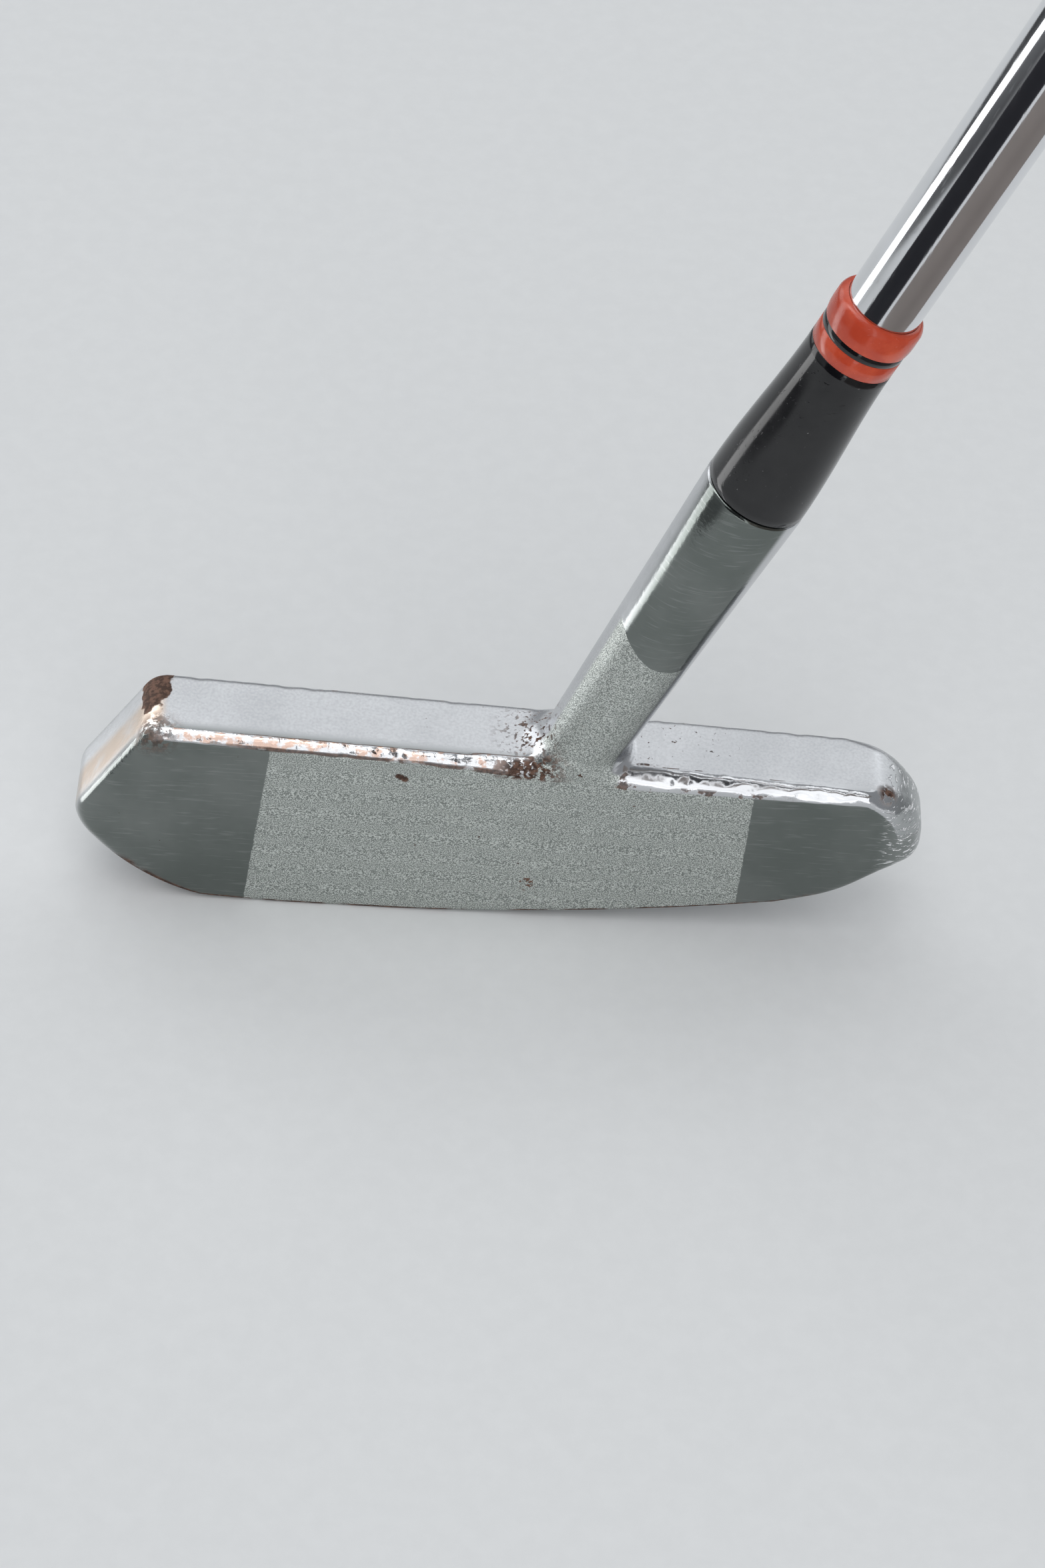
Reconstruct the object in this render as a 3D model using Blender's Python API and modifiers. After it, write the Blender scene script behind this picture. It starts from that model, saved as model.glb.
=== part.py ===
"""Blade putter: a forged head with its hosel, a stepped steel shaft, a ringed ferrule and a leather grip.

The putter is held as at address: the sole rests at the origin, +X runs from toe to heel, the face
looks along -Y and +Z is up. The shaft leans toward the heel by the lie angle. Metres throughout.
"""

import math

import bmesh
import bpy
from mathutils import Matrix, Vector

# Blade outline, seen square to the face
BLADE_LENGTH = 0.1184
TOE_REACH = 0.0390
TOP_AT_TOE = 0.0310
TOP_AT_HEEL = 0.0257
TOE_TIP_HEIGHT = 0.0125
TOE_SLANT_RUN = 0.0119
TOE_FOOT_RUN = 0.0105
TOE_CURVE_LEAD = 0.0130
HEEL_SIDE_HEIGHT = 0.0140
HEEL_FOOT_RUN = 0.0106
HEEL_CURVE_LEAD = 0.0048
TOE_FOOT_RADIUS = 0.0260
TOE_TIP_RADIUS = 0.0060
TOE_TOP_RADIUS = 0.0038
HEEL_TOP_RADIUS = 0.0092
HEEL_SIDE_RADIUS = 0.0037
HEEL_FOOT_RADIUS = 0.0180
SOLE_RADIUS = 0.335
SOLE_FLAT = 0.014

# Blade section
SOLE_THICKNESS = 0.0136
LOFT = math.radians(2.5)
EDGE_RADIUS = 0.0012
FACING_STOCK = 0.0010

# Hosel, forged in one with the blade
LIE = math.radians(68.0)
HOSEL_X = 0.0314
HOSEL_LENGTH = 0.0516
HOSEL_TOP_WALL = 0.00230
HOSEL_ROOT_WALL = 0.00090
HOSEL_SUNK = 0.0120
HOSEL_INSET = 0.0001
HOSEL_LIP = 0.0004
ROOT_SPREAD = 0.0028
ROOT_RISE = 0.0028
ROOT_TUCK = 0.0007
BORE_DEPTH = 0.0360

# Shaft
CLUB_LENGTH = 0.889
TIP_RADIUS = 0.00465
TIP_SECTION = 0.330
TIP_TAPER = 0.00375
BUTT_RADIUS = 0.00762
SHAFT_WALL = 0.0005
STEP_COUNT = 8
STEP_PITCH = 0.030
STEP_RAMP = 0.0012
PLUG_LENGTH = 0.012

# Ferrule stack, from the hosel up
FERRULE_BODY_LENGTH = 0.0254
FERRULE_TOP_WALL = 0.00105
FERRULE_BASE_WALL = 0.00225
LOWER_RING_LENGTH = 0.0026
THIN_RING_LENGTH = 0.0011
CAP_RING_LENGTH = 0.0041
CAP_RING_BULGE = 0.0002
CAP_RING_ROUND = 0.0014

# Grip
GRIP_LENGTH = 0.267
LISTING_LOW_WALL = 0.00128
LISTING_HIGH_WALL = 0.00318
LEATHER = 0.0013
FLAT_SHARE = 0.86
COLLAR_LENGTH = 0.012
COLLAR_LOW_WALL = 0.0007
CAP_THICKNESS = 0.0035
CAP_OVERHANG = 0.0006
CAP_ROUND = 0.0012
STEM_LENGTH = 0.014
STEM_PLAY = 0.00112

# Radii that follow the shaft's
HOSEL_TOP_RADIUS = TIP_RADIUS + HOSEL_TOP_WALL
HOSEL_ROOT_RADIUS = TIP_RADIUS + HOSEL_ROOT_WALL
FERRULE_TOP_RADIUS = TIP_RADIUS + FERRULE_TOP_WALL
FERRULE_BASE_RADIUS = TIP_RADIUS + FERRULE_BASE_WALL
LISTING_LOW_RADIUS = BUTT_RADIUS + LISTING_LOW_WALL
LISTING_HIGH_RADIUS = BUTT_RADIUS + LISTING_HIGH_WALL
STEM_RADIUS = BUTT_RADIUS - SHAFT_WALL - STEM_PLAY

# Fits and facets
GAP = 0.0003
ROUND_STEPS = 48
ARC_STEP = math.radians(9.0)
SHARP_ANGLE = math.radians(30.0)
SOLE_STEP = 0.005
FERRULE_SLICES = 8
RING_ARC_STEPS = 6
CAP_ARC_STEPS = 4
BEVEL_SEGMENTS = 3
WELD = 0.00001


def clear_scene():
    """Start from an empty file."""
    for item in list(bpy.data.objects):
        bpy.data.objects.remove(item)


def new_collection(name):
    """Add a collection to the scene."""
    collection = bpy.data.collections.new(name)
    bpy.context.scene.collection.children.link(collection)
    return collection


def new_material(name, colour, roughness, metallic=0.0):
    """A plain surface for one sub-part."""
    material = bpy.data.materials.new(name)
    material.use_nodes = True
    surface = material.node_tree.nodes["Principled BSDF"]
    surface.inputs["Base Color"].default_value = (*colour, 1.0)
    surface.inputs["Roughness"].default_value = roughness
    surface.inputs["Metallic"].default_value = metallic
    return material


def add_object(name, data, collection, material=None, parent=None):
    """Put a mesh or curve into a collection, under its parent and in its material."""
    item = bpy.data.objects.new(name, data)
    collection.objects.link(item)
    if material:
        data.materials.append(material)
    if parent:
        item.parent = parent
    return item


def hide_cutter(item):
    """Mark a tool body, which is not a piece of the putter."""
    item.hide_render = True
    item.display_type = "WIRE"
    return item


def add_boolean(item, tool, operation):
    """Cut, join or intersect one body with another."""
    modifier = item.modifiers.new(tool.name, "BOOLEAN")
    modifier.operation = operation
    modifier.object = tool


def turned(name, profile, closed, collection, material=None, parent=None):
    """Turn a profile of (radius, height) points, listed down the outer side, about local Z."""
    mesh = bpy.data.meshes.new(name)
    shape = bmesh.new()
    verts = [shape.verts.new((radius, 0.0, height)) for radius, height in profile]
    for first, second in zip(verts, verts[1:]):
        shape.edges.new((first, second))
    if closed:
        shape.edges.new((verts[-1], verts[0]))
    shape.to_mesh(mesh)
    shape.free()
    item = add_object(name, mesh, collection, material, parent)
    screw = item.modifiers.new("turn", "SCREW")
    screw.steps = ROUND_STEPS
    screw.render_steps = ROUND_STEPS
    screw.use_merge_vertices = True
    screw.merge_threshold = WELD
    screw.use_smooth_shade = True
    return item


def block(name, size, centre, collection, parent=None):
    """A box of the given size about a centre point."""
    mesh = bpy.data.meshes.new(name)
    shape = bmesh.new()
    place = Matrix.Translation(centre) @ Matrix.Diagonal((*size, 1.0))
    bmesh.ops.create_cube(shape, size=1.0, matrix=place)
    shape.to_mesh(mesh)
    shape.free()
    return add_object(name, mesh, collection, parent=parent)


def sole_height(x):
    """Height of the cambered sole, which is worn flat where it rests."""
    reach = max(abs(x), SOLE_FLAT / 2)
    return math.sqrt(SOLE_RADIUS ** 2 - (SOLE_FLAT / 2) ** 2) - math.sqrt(SOLE_RADIUS ** 2 - reach ** 2)


def sole_tangent(contact, x):
    """Height at x of the line that leaves the sole's camber at the contact."""
    slope = contact / math.sqrt(SOLE_RADIUS ** 2 - contact ** 2)
    return sole_height(contact) + slope * (x - contact)


def fillet_reaches(points, radii):
    """Length that each corner's arc takes from its two sides, shared where a side is short."""
    reaches = [0.0]
    for before, corner, after, radius in zip(points, points[1:], points[2:], radii):
        turn = (corner - before).angle(after - corner)
        reaches.append(radius * math.tan(turn / 2))
    reaches.append(0.0)
    shares = []
    for index in range(len(points) - 1):
        side = (points[index + 1] - points[index]).length
        wanted = reaches[index] + reaches[index + 1]
        shares.append(min(1.0, side / wanted) if wanted else 1.0)
    for index in range(1, len(points) - 1):
        reaches[index] *= min(shares[index - 1], shares[index])
    return reaches


def round_corners(points, radii):
    """Replace each inner corner of a chain with an arc that is tangent to both sides."""
    reaches = fillet_reaches(points, radii)
    chain = [points[0]]
    for index in range(1, len(points) - 1):
        corner = points[index]
        back = (points[index - 1] - corner).normalized()
        ahead = (points[index + 1] - corner).normalized()
        start = corner + back * reaches[index]
        end = corner + ahead * reaches[index]
        half = back.angle(ahead) / 2
        centre = corner + (back + ahead).normalized() * (reaches[index] / math.cos(half))
        sweep = math.pi - 2 * half
        count = max(2, math.ceil(sweep / ARC_STEP))
        first = start - centre
        last = end - centre
        for step in range(count + 1):
            angle = sweep * step / count
            weight_first = math.sin(sweep - angle) / math.sin(sweep)
            weight_last = math.sin(angle) / math.sin(sweep)
            chain.append(centre + first * weight_first + last * weight_last)
    chain.append(points[-1])
    return chain


def blade_outline():
    """The blade's outline in X and Z, as one closed chain."""
    toe = -TOE_REACH
    heel = BLADE_LENGTH - TOE_REACH
    toe_foot = toe + TOE_FOOT_RUN
    heel_foot = heel - HEEL_FOOT_RUN
    toe_contact = toe_foot + TOE_CURVE_LEAD
    heel_contact = heel_foot - HEEL_CURVE_LEAD
    corners = [
        (toe_contact, sole_height(toe_contact), 0.0),
        (toe_foot, sole_tangent(toe_contact, toe_foot), TOE_FOOT_RADIUS),
        (toe, TOE_TIP_HEIGHT, TOE_TIP_RADIUS),
        (toe + TOE_SLANT_RUN, TOP_AT_TOE, TOE_TOP_RADIUS),
        (heel, TOP_AT_HEEL, HEEL_TOP_RADIUS),
        (heel, HEEL_SIDE_HEIGHT, HEEL_SIDE_RADIUS),
        (heel_foot, sole_tangent(heel_contact, heel_foot), HEEL_FOOT_RADIUS),
        (heel_contact, sole_height(heel_contact), 0.0),
    ]
    points = [Vector((x, z)) for x, z, radius in corners]
    radii = [radius for x, z, radius in corners[1:-1]]
    chain = round_corners(points, radii)
    flat = SOLE_FLAT / 2
    for start, end in ((heel_contact, flat), (-flat, toe_contact)):
        count = max(1, math.ceil(abs(end - start) / SOLE_STEP))
        for step in range(count + 1):
            x = start + (end - start) * step / count
            if x not in (heel_contact, toe_contact):
                chain.append(Vector((x, sole_height(x))))
    return chain


def top_height(x):
    """Height of the blade's straight top line."""
    low_end = TOE_SLANT_RUN - TOE_REACH
    high_end = BLADE_LENGTH - TOE_REACH
    return TOP_AT_TOE + (TOP_AT_HEEL - TOP_AT_TOE) * (x - low_end) / (high_end - low_end)


def face_depth(z):
    """Y of the lofted face at a height."""
    return -SOLE_THICKNESS / 2 + z * math.tan(LOFT)


def shaft_axis(collection):
    """An empty on the shaft's axis where it meets the blade's top line, its Z up the shaft."""
    height = top_height(HOSEL_X)
    axis = bpy.data.objects.new("shaft_axis", None)
    collection.objects.link(axis)
    axis.location = (HOSEL_X, face_depth(height) + HOSEL_ROOT_RADIUS + HOSEL_INSET, height)
    axis.rotation_euler = (0.0, math.pi / 2 - LIE, 0.0)
    return axis


def extruded_blank(outline, thickness, centre_y, name, collection, material):
    """Extrude an X-Z outline along Y and make it one welded mesh."""
    curve = bpy.data.curves.new(name, "CURVE")
    curve.dimensions = "2D"
    curve.fill_mode = "BOTH"
    curve.extrude = thickness / 2
    spline = curve.splines.new("POLY")
    spline.points.add(len(outline) - 1)
    for point, place in zip(spline.points, outline):
        point.co = (place.x, place.y, 0.0, 1.0)
    spline.use_cyclic_u = True
    guide = add_object(name + "_outline", curve, collection)
    guide.location = (0.0, centre_y, 0.0)
    guide.rotation_euler = (math.pi / 2, 0.0, 0.0)
    bpy.context.view_layer.update()
    evaluated = guide.evaluated_get(bpy.context.evaluated_depsgraph_get())
    mesh = bpy.data.meshes.new_from_object(evaluated)
    shape = bmesh.new()
    shape.from_mesh(mesh)
    bmesh.ops.remove_doubles(shape, verts=shape.verts, dist=WELD)
    bmesh.ops.dissolve_limit(shape, angle_limit=ARC_STEP / 20, verts=shape.verts, edges=shape.edges)
    bmesh.ops.recalc_face_normals(shape, faces=shape.faces)
    shape.to_mesh(mesh)
    shape.free()
    item = add_object(name, mesh, collection, material)
    item.matrix_world = guide.matrix_world.copy()
    bpy.data.objects.remove(guide)
    return item


def loft_cutter(cutters):
    """A block whose rear side is the lofted plane of the face."""
    span = 3 * BLADE_LENGTH
    depth = SOLE_THICKNESS
    cutter = block("loft_cut", (span, depth, span), (0.0, -depth / 2, 0.0), cutters)
    cutter.location = (0.0, face_depth(0.0), 0.0)
    cutter.rotation_euler = (-LOFT, 0.0, 0.0)
    return hide_cutter(cutter)


def hosel_blank(axis, cutters):
    """The tapered neck, sunk into the blade at its foot."""
    profile = [
        (0.0, HOSEL_LENGTH),
        (HOSEL_TOP_RADIUS - HOSEL_LIP, HOSEL_LENGTH),
        (HOSEL_TOP_RADIUS, HOSEL_LENGTH - HOSEL_LIP),
        (HOSEL_ROOT_RADIUS, 0.0),
        (HOSEL_ROOT_RADIUS, -HOSEL_SUNK),
        (0.0, -HOSEL_SUNK),
    ]
    return hide_cutter(turned("hosel_blank", profile, False, cutters, parent=axis))


def root_blank(axis, cutters):
    """The hollow sweep between the neck and the blade's top, kept within the blade's thickness."""
    inner = HOSEL_ROOT_RADIUS - ROOT_TUCK
    outer = HOSEL_ROOT_RADIUS + ROOT_SPREAD
    profile = [(0.0, ROOT_RISE)]
    count = math.ceil(math.pi / 2 / ARC_STEP)
    for step in range(count + 1):
        angle = math.pi / 2 * step / count
        radius = outer - (outer - inner) * math.cos(angle)
        profile.append((radius, ROOT_RISE * (1 - math.sin(angle))))
    profile.append((outer, -ROOT_RISE))
    profile.append((0.0, -ROOT_RISE))
    root = hide_cutter(turned("root_blank", profile, False, cutters))
    root.location = axis.location
    front = face_depth(axis.location.z + ROOT_RISE) + HOSEL_INSET
    back = SOLE_THICKNESS / 2 - HOSEL_INSET
    span = 4 * outer
    centre = (axis.location.x, (front + back) / 2, axis.location.z)
    slab = hide_cutter(block("root_slab", (span, back - front, span), centre, cutters))
    add_boolean(root, slab, "INTERSECT")
    return root


def putter_head(axis, parts, cutters, material):
    """Blade and hosel in one forging, with a blind bore for the shaft."""
    thickness = SOLE_THICKNESS + FACING_STOCK
    outline = blade_outline()
    head = extruded_blank(outline, thickness, -FACING_STOCK / 2, "putter_head", parts, material)
    add_boolean(head, loft_cutter(cutters), "DIFFERENCE")
    bevel = head.modifiers.new("worn_edges", "BEVEL")
    bevel.width = EDGE_RADIUS
    bevel.segments = BEVEL_SEGMENTS
    bevel.limit_method = "ANGLE"
    bevel.angle_limit = SHARP_ANGLE
    add_boolean(head, hosel_blank(axis, cutters), "UNION")
    add_boolean(head, root_blank(axis, cutters), "UNION")
    bore_radius = shaft_radius(HOSEL_LENGTH) + GAP
    over = HOSEL_LENGTH + FERRULE_BODY_LENGTH
    floor = HOSEL_LENGTH - BORE_DEPTH
    profile = [(0.0, over), (bore_radius, over), (bore_radius, floor), (0.0, floor)]
    bore = hide_cutter(turned("hosel_bore", profile, False, cutters, parent=axis))
    add_boolean(head, bore, "DIFFERENCE")
    return head


def tip_height():
    """Where the shaft's tip sits, just off the floor of the bore."""
    return HOSEL_LENGTH - BORE_DEPTH + GAP


def butt_height():
    """Where the shaft ends, under the grip's cap, for the stated length of the club."""
    below_top_line = top_height(HOSEL_X) / math.sin(LIE)
    return CLUB_LENGTH - below_top_line - CAP_THICKNESS - GAP


def shaft_outline():
    """Radius against height up the shaft: a tapered tip section, then steps up to the butt."""
    tip = tip_height()
    points = [(TIP_RADIUS, tip)]
    radius = TIP_RADIUS + TIP_TAPER * TIP_SECTION
    height = tip + TIP_SECTION
    points.append((radius, height))
    rise = (BUTT_RADIUS - radius) / STEP_COUNT
    for step in range(STEP_COUNT):
        radius += rise
        points.append((radius, height + STEP_RAMP))
        height += STEP_PITCH
        points.append((radius, height))
    points[-1] = (BUTT_RADIUS, butt_height())
    return points


def shaft_radius(height):
    """Outer radius of the shaft at a height along its axis."""
    points = shaft_outline()
    for (low_radius, low), (high_radius, high) in zip(points, points[1:]):
        if height <= high:
            share = max(0.0, (height - low) / (high - low))
            return low_radius + (high_radius - low_radius) * share
    return BUTT_RADIUS


def shaft(axis, parts, material):
    """The drawn steel tube, open at both ends."""
    outer = shaft_outline()
    inner = [(radius - SHAFT_WALL, height) for radius, height in outer]
    return turned("shaft", outer[::-1] + inner, True, parts, material, axis)


def tip_plug(axis, parts, material):
    """Cork stopper in the shaft's tip."""
    low = tip_height() + GAP
    high = low + PLUG_LENGTH
    radius = TIP_RADIUS - SHAFT_WALL - GAP
    profile = [(0.0, high), (radius, high), (radius, low), (0.0, low)]
    return turned("shaft_tip_plug", profile, False, parts, material, axis)


def ferrule_radius(height):
    """Outer radius of the ferrule, which swells smoothly down to the hosel."""
    low = HOSEL_LENGTH + GAP
    share = min(1.0, max(0.0, (height - low) / FERRULE_BODY_LENGTH))
    ease = share * share * (3.0 - 2.0 * share)
    return FERRULE_BASE_RADIUS + (FERRULE_TOP_RADIUS - FERRULE_BASE_RADIUS) * ease


def ferrule_piece(name, low, length, axis, parts, material):
    """One turned piece of the ferrule, bored to clear the shaft."""
    slices = FERRULE_SLICES if name == "ferrule_body" else 1
    bore = shaft_radius(low + length) + GAP
    profile = []
    for step in range(slices, -1, -1):
        height = low + length * step / slices
        profile.append((ferrule_radius(height), height))
    profile.append((bore, low))
    profile.append((bore, low + length))
    return turned(name, profile, True, parts, material, axis)


def cap_ring(low, axis, parts, material):
    """The ferrule's rounded top ring."""
    high = low + CAP_RING_LENGTH
    bore = shaft_radius(high) + GAP
    rim = FERRULE_TOP_RADIUS + CAP_RING_BULGE
    round_over = min(CAP_RING_ROUND, rim - bore)
    profile = []
    for step in range(RING_ARC_STEPS + 1):
        angle = math.pi / 2 * step / RING_ARC_STEPS
        radius = rim - round_over + round_over * math.sin(angle)
        profile.append((radius, high - round_over + round_over * math.cos(angle)))
    profile.append((FERRULE_TOP_RADIUS, low))
    profile.append((bore, low))
    if rim - round_over > bore:
        profile.append((bore, high))
    return turned("ferrule_cap_ring", profile, True, parts, material, axis)


def ferrule(axis, parts, black, red):
    """Black body, red ring, thin black ring and red cap ring, stacked on the hosel."""
    stack = [
        ("ferrule_body", FERRULE_BODY_LENGTH, black),
        ("ferrule_lower_ring", LOWER_RING_LENGTH, red),
        ("ferrule_thin_ring", THIN_RING_LENGTH, black),
    ]
    height = HOSEL_LENGTH + GAP
    for name, length, material in stack:
        ferrule_piece(name, height, length - GAP, axis, parts, material)
        height += length
    cap_ring(height, axis, parts, red)


def flat_sided_taper(name, wall, over, collection, material, axis, cutters):
    """A tapered body with one flat side, the thumb flat: the listing's size plus a wall."""
    high = butt_height() + over
    low = butt_height() - GRIP_LENGTH - over
    length = high - low
    taper = (LISTING_HIGH_RADIUS - LISTING_LOW_RADIUS) / GRIP_LENGTH
    low_listing = LISTING_LOW_RADIUS - taper * over
    high_listing = LISTING_HIGH_RADIUS + taper * over
    mesh = bpy.data.meshes.new(name)
    shape = bmesh.new()
    place = Matrix.Translation((0.0, 0.0, (low + high) / 2))
    bmesh.ops.create_cone(
        shape, cap_ends=True, segments=ROUND_STEPS, radius1=low_listing + wall,
        radius2=high_listing + wall, depth=length, matrix=place)
    shape.to_mesh(mesh)
    shape.free()
    mesh.shade_smooth()
    mesh.set_sharp_from_angle(angle=SHARP_ANGLE)
    item = add_object(name, mesh, collection, material, axis)
    middle = FLAT_SHARE * (low_listing + high_listing) / 2 + wall
    lean = math.atan(FLAT_SHARE * taper)
    size = 4 * high_listing
    flat = block(name + "_flat_cut", (size, size, 2 * length), (-size / 2, 0.0, 0.0), cutters, axis)
    flat.location = (-middle, 0.0, (low + high) / 2)
    flat.rotation_euler = (0.0, -lean, 0.0)
    add_boolean(item, hide_cutter(flat), "DIFFERENCE")
    return item


def grip_sleeves(axis, parts, cutters, rubber, leather):
    """Rubber underlisting pushed over the shaft's butt, and the leather wound round it."""
    listing = flat_sided_taper("grip_underlisting", 0.0, 0.0, parts, rubber, axis, cutters)
    bore_radius = BUTT_RADIUS + GAP
    over = butt_height() + CAP_THICKNESS
    under = butt_height() - GRIP_LENGTH - CAP_THICKNESS
    profile = [(0.0, over), (bore_radius, over), (bore_radius, under), (0.0, under)]
    bore = hide_cutter(turned("listing_bore", profile, False, cutters, parent=axis))
    add_boolean(listing, bore, "DIFFERENCE")
    wrap = flat_sided_taper("grip_leather", GAP + LEATHER, 0.0, parts, leather, axis, cutters)
    core = flat_sided_taper("leather_core", GAP, CAP_THICKNESS, cutters, None, axis, cutters)
    add_boolean(wrap, hide_cutter(core), "DIFFERENCE")


def grip_collar(axis, parts, material):
    """Tapered plastic ring that covers the wrap's lower end."""
    high = butt_height() - GRIP_LENGTH - GAP
    low = high - COLLAR_LENGTH
    bore = BUTT_RADIUS + GAP
    rim = LISTING_LOW_RADIUS + GAP + LEATHER
    shoulder = high - COLLAR_LENGTH / 4
    profile = [(rim, high), (rim, shoulder), (bore + COLLAR_LOW_WALL, low), (bore, low), (bore, high)]
    return turned("grip_collar", profile, True, parts, material, axis)


def grip_cap(axis, parts, material):
    """Plastic end cap: a flat button on a stem that plugs the shaft's butt."""
    low = butt_height() + GAP
    high = low + CAP_THICKNESS
    rim = LISTING_HIGH_RADIUS + GAP + LEATHER + CAP_OVERHANG
    profile = [(0.0, high)]
    for step in range(CAP_ARC_STEPS + 1):
        angle = math.pi / 2 * step / CAP_ARC_STEPS
        radius = rim - CAP_ROUND + CAP_ROUND * math.sin(angle)
        profile.append((radius, high - CAP_ROUND + CAP_ROUND * math.cos(angle)))
    profile.append((rim, low))
    profile.append((STEM_RADIUS, low))
    profile.append((STEM_RADIUS, low - STEM_LENGTH))
    profile.append((0.0, low - STEM_LENGTH))
    return turned("grip_end_cap", profile, False, parts, material, axis)


def build():
    """Make every piece of the putter."""
    clear_scene()
    parts = new_collection("blade_putter")
    cutters = new_collection("cutters")
    plating = new_material("head_plating", (0.55, 0.56, 0.55), 0.25, 1.0)
    chrome = new_material("shaft_chrome", (0.75, 0.76, 0.78), 0.08, 1.0)
    black = new_material("ferrule_black", (0.015, 0.015, 0.017), 0.25)
    red = new_material("ferrule_red", (0.45, 0.05, 0.02), 0.25)
    cork = new_material("cork", (0.45, 0.28, 0.14), 0.9)
    rubber = new_material("listing_rubber", (0.03, 0.03, 0.03), 0.85)
    leather = new_material("grip_leather", (0.03, 0.022, 0.018), 0.6)
    plastic = new_material("grip_plastic", (0.02, 0.02, 0.02), 0.4)
    axis = shaft_axis(parts)
    putter_head(axis, parts, cutters, plating)
    shaft(axis, parts, chrome)
    tip_plug(axis, parts, cork)
    ferrule(axis, parts, black, red)
    grip_sleeves(axis, parts, cutters, rubber, leather)
    grip_collar(axis, parts, plastic)
    grip_cap(axis, parts, plastic)


build()
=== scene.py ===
"""Looks of a blade putter: plated head, ringed ferrule, chromed shaft and a wound leather grip."""

import math
import random

import bmesh
import bpy
import numpy as np
from mathutils import Matrix, Vector


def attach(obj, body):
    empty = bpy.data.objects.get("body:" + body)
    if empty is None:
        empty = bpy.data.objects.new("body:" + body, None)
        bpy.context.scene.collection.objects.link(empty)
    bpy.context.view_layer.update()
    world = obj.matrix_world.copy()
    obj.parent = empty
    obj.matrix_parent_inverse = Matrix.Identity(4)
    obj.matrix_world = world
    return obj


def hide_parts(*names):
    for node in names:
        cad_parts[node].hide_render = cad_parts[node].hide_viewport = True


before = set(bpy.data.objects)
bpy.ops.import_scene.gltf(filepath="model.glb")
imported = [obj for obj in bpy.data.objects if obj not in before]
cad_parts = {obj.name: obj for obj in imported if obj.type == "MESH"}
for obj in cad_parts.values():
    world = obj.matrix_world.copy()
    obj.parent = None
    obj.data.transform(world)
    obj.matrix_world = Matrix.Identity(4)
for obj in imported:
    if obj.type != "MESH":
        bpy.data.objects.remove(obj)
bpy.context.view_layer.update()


# ---------------------------------------------------------------------------
# Putter head
# A blade and its neck forged in one piece of steel, milled flat on the face, then nickel and chrome
# plated. The middle of the face is sandblasted through a mask; the plating has worn off the edges.

LIE = math.radians(68.0)
LOFT = math.radians(2.5)
HALF_SOLE = 0.0068
SOLE_RADIUS = 0.335
SOLE_FLAT = 0.007
FILLET_STEP = 0.0006
BLADE_CORNERS = [
    (-0.0285, 0.0009, 0.026),
    (-0.039, 0.0125, 0.006),
    (-0.0271, 0.031, 0.0038),
    (0.0794, 0.0257, 0.0092),
    (0.0794, 0.014, 0.0037),
    (0.0688, 0.007, 0.018),
]
TOE_CONTACT = -0.0155
HEEL_CONTACT = 0.064
NECK_FOOT = Vector((0.0314, 0.000076, 0.02809))
NECK_TOP = 0.0516
NECK_FOOT_RADIUS = 0.00555
NECK_TOP_RADIUS = 0.00695
NECK_SUNK = 0.01
NECK_BORE_RADIUS = 0.0051
NECK_BORE_FLOOR = 0.0156
NECK_CUT = 0.035
SKIN_STEP = 0.00045
SKIN_ROUNDS = 4
SWELL_START = 0.027
SWELL_LEAN = 0.16

# the sandblasted field: lean and foot of its two side borders, its top, how soft and ragged its mask is
TOE_BORDER = (0.1196, -0.01424)
HEEL_BORDER = (0.0294, 0.05456)
FIELD_TOP = 0.029
MASK_SOFT = 0.0002
MASK_RAGGED = 0.0003
NECK_MASK_TOP = 0.0222

# rust and pits: centre, radius, soft rim, then scale and borders of the flecks
RUST_SPOTS = {
    "neck_root": ((0.0246, -0.0056, 0.0274), 0.0022, 0.0046, 1300.0, 0.44, 0.52),
    "root_pits": ((0.0264, 0.001, 0.0288), 0.0022, 0.0062, 1300.0, 0.55, 0.59),
    "heel_pits": ((0.045, 0.001, 0.0274), 0.003, 0.009, 1700.0, 0.66, 0.69),
    "toe_corner_front": ((-0.0262, -0.0042, 0.0302), 0.0014, 0.003, 1100.0, 0.4, 0.54),
    "heel_corner": ((0.0738, -0.0036, 0.0254), 0.0007, 0.0014, 1100.0, 0.42, 0.5),
    "low_mark": ((0.0255, -0.0065, 0.0063), 0.0011, 0.0004, 1500.0, 0.52, 0.57),
}
GOUGE_SPOTS = [
    ((0.0069, -0.0057, 0.0255), 0.00035),
    ((0.0078, -0.0057, 0.025), 0.0004),
    ((0.0073, -0.0057, 0.0253), 0.0004),
]
GOUGE_RIM = 0.0003

PLATE_CLEAN = (0.62, 0.63, 0.645, 1.0)
PLATE_SMOKED = (0.54, 0.55, 0.565, 1.0)
PLATE_MOTTLE = (0.36, 0.37, 0.38, 1.0)
# painted dark reflection: the polished plating's colour, far darker than chrome and tinted green
PAINTED_REFLECTION_DARK = (0.16, 0.178, 0.168, 1.0)
PAINTED_REFLECTION_PALE = (0.215, 0.232, 0.222, 1.0)
HAIRLINE_GREY = (0.5, 0.51, 0.51, 1.0)
GRIT_DARK = (0.24, 0.26, 0.245, 1.0)
GRIT_PALE = (0.68, 0.71, 0.68, 1.0)
SLANT_BAND_TAN = (0.5, 0.38, 0.28, 1.0)
HEEL_GREY = (0.34, 0.36, 0.35, 1.0)
# near white, for the painted highlights along the heel end's scratches
PAINTED_SCRATCH_GLINT = (0.93, 0.93, 0.94, 1.0)
BARE_COPPER = (0.5, 0.365, 0.305, 1.0)
RUST_DARK = (0.045, 0.022, 0.014, 1.0)
RUST_BROWN = (0.15, 0.082, 0.056, 1.0)

up_shaft = Matrix.Translation(NECK_FOOT) @ Matrix.Rotation(math.pi / 2 - LIE, 4, "Y")
shaft_line = up_shaft.to_3x3() @ Vector((0.0, 0.0, 1.0))


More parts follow.
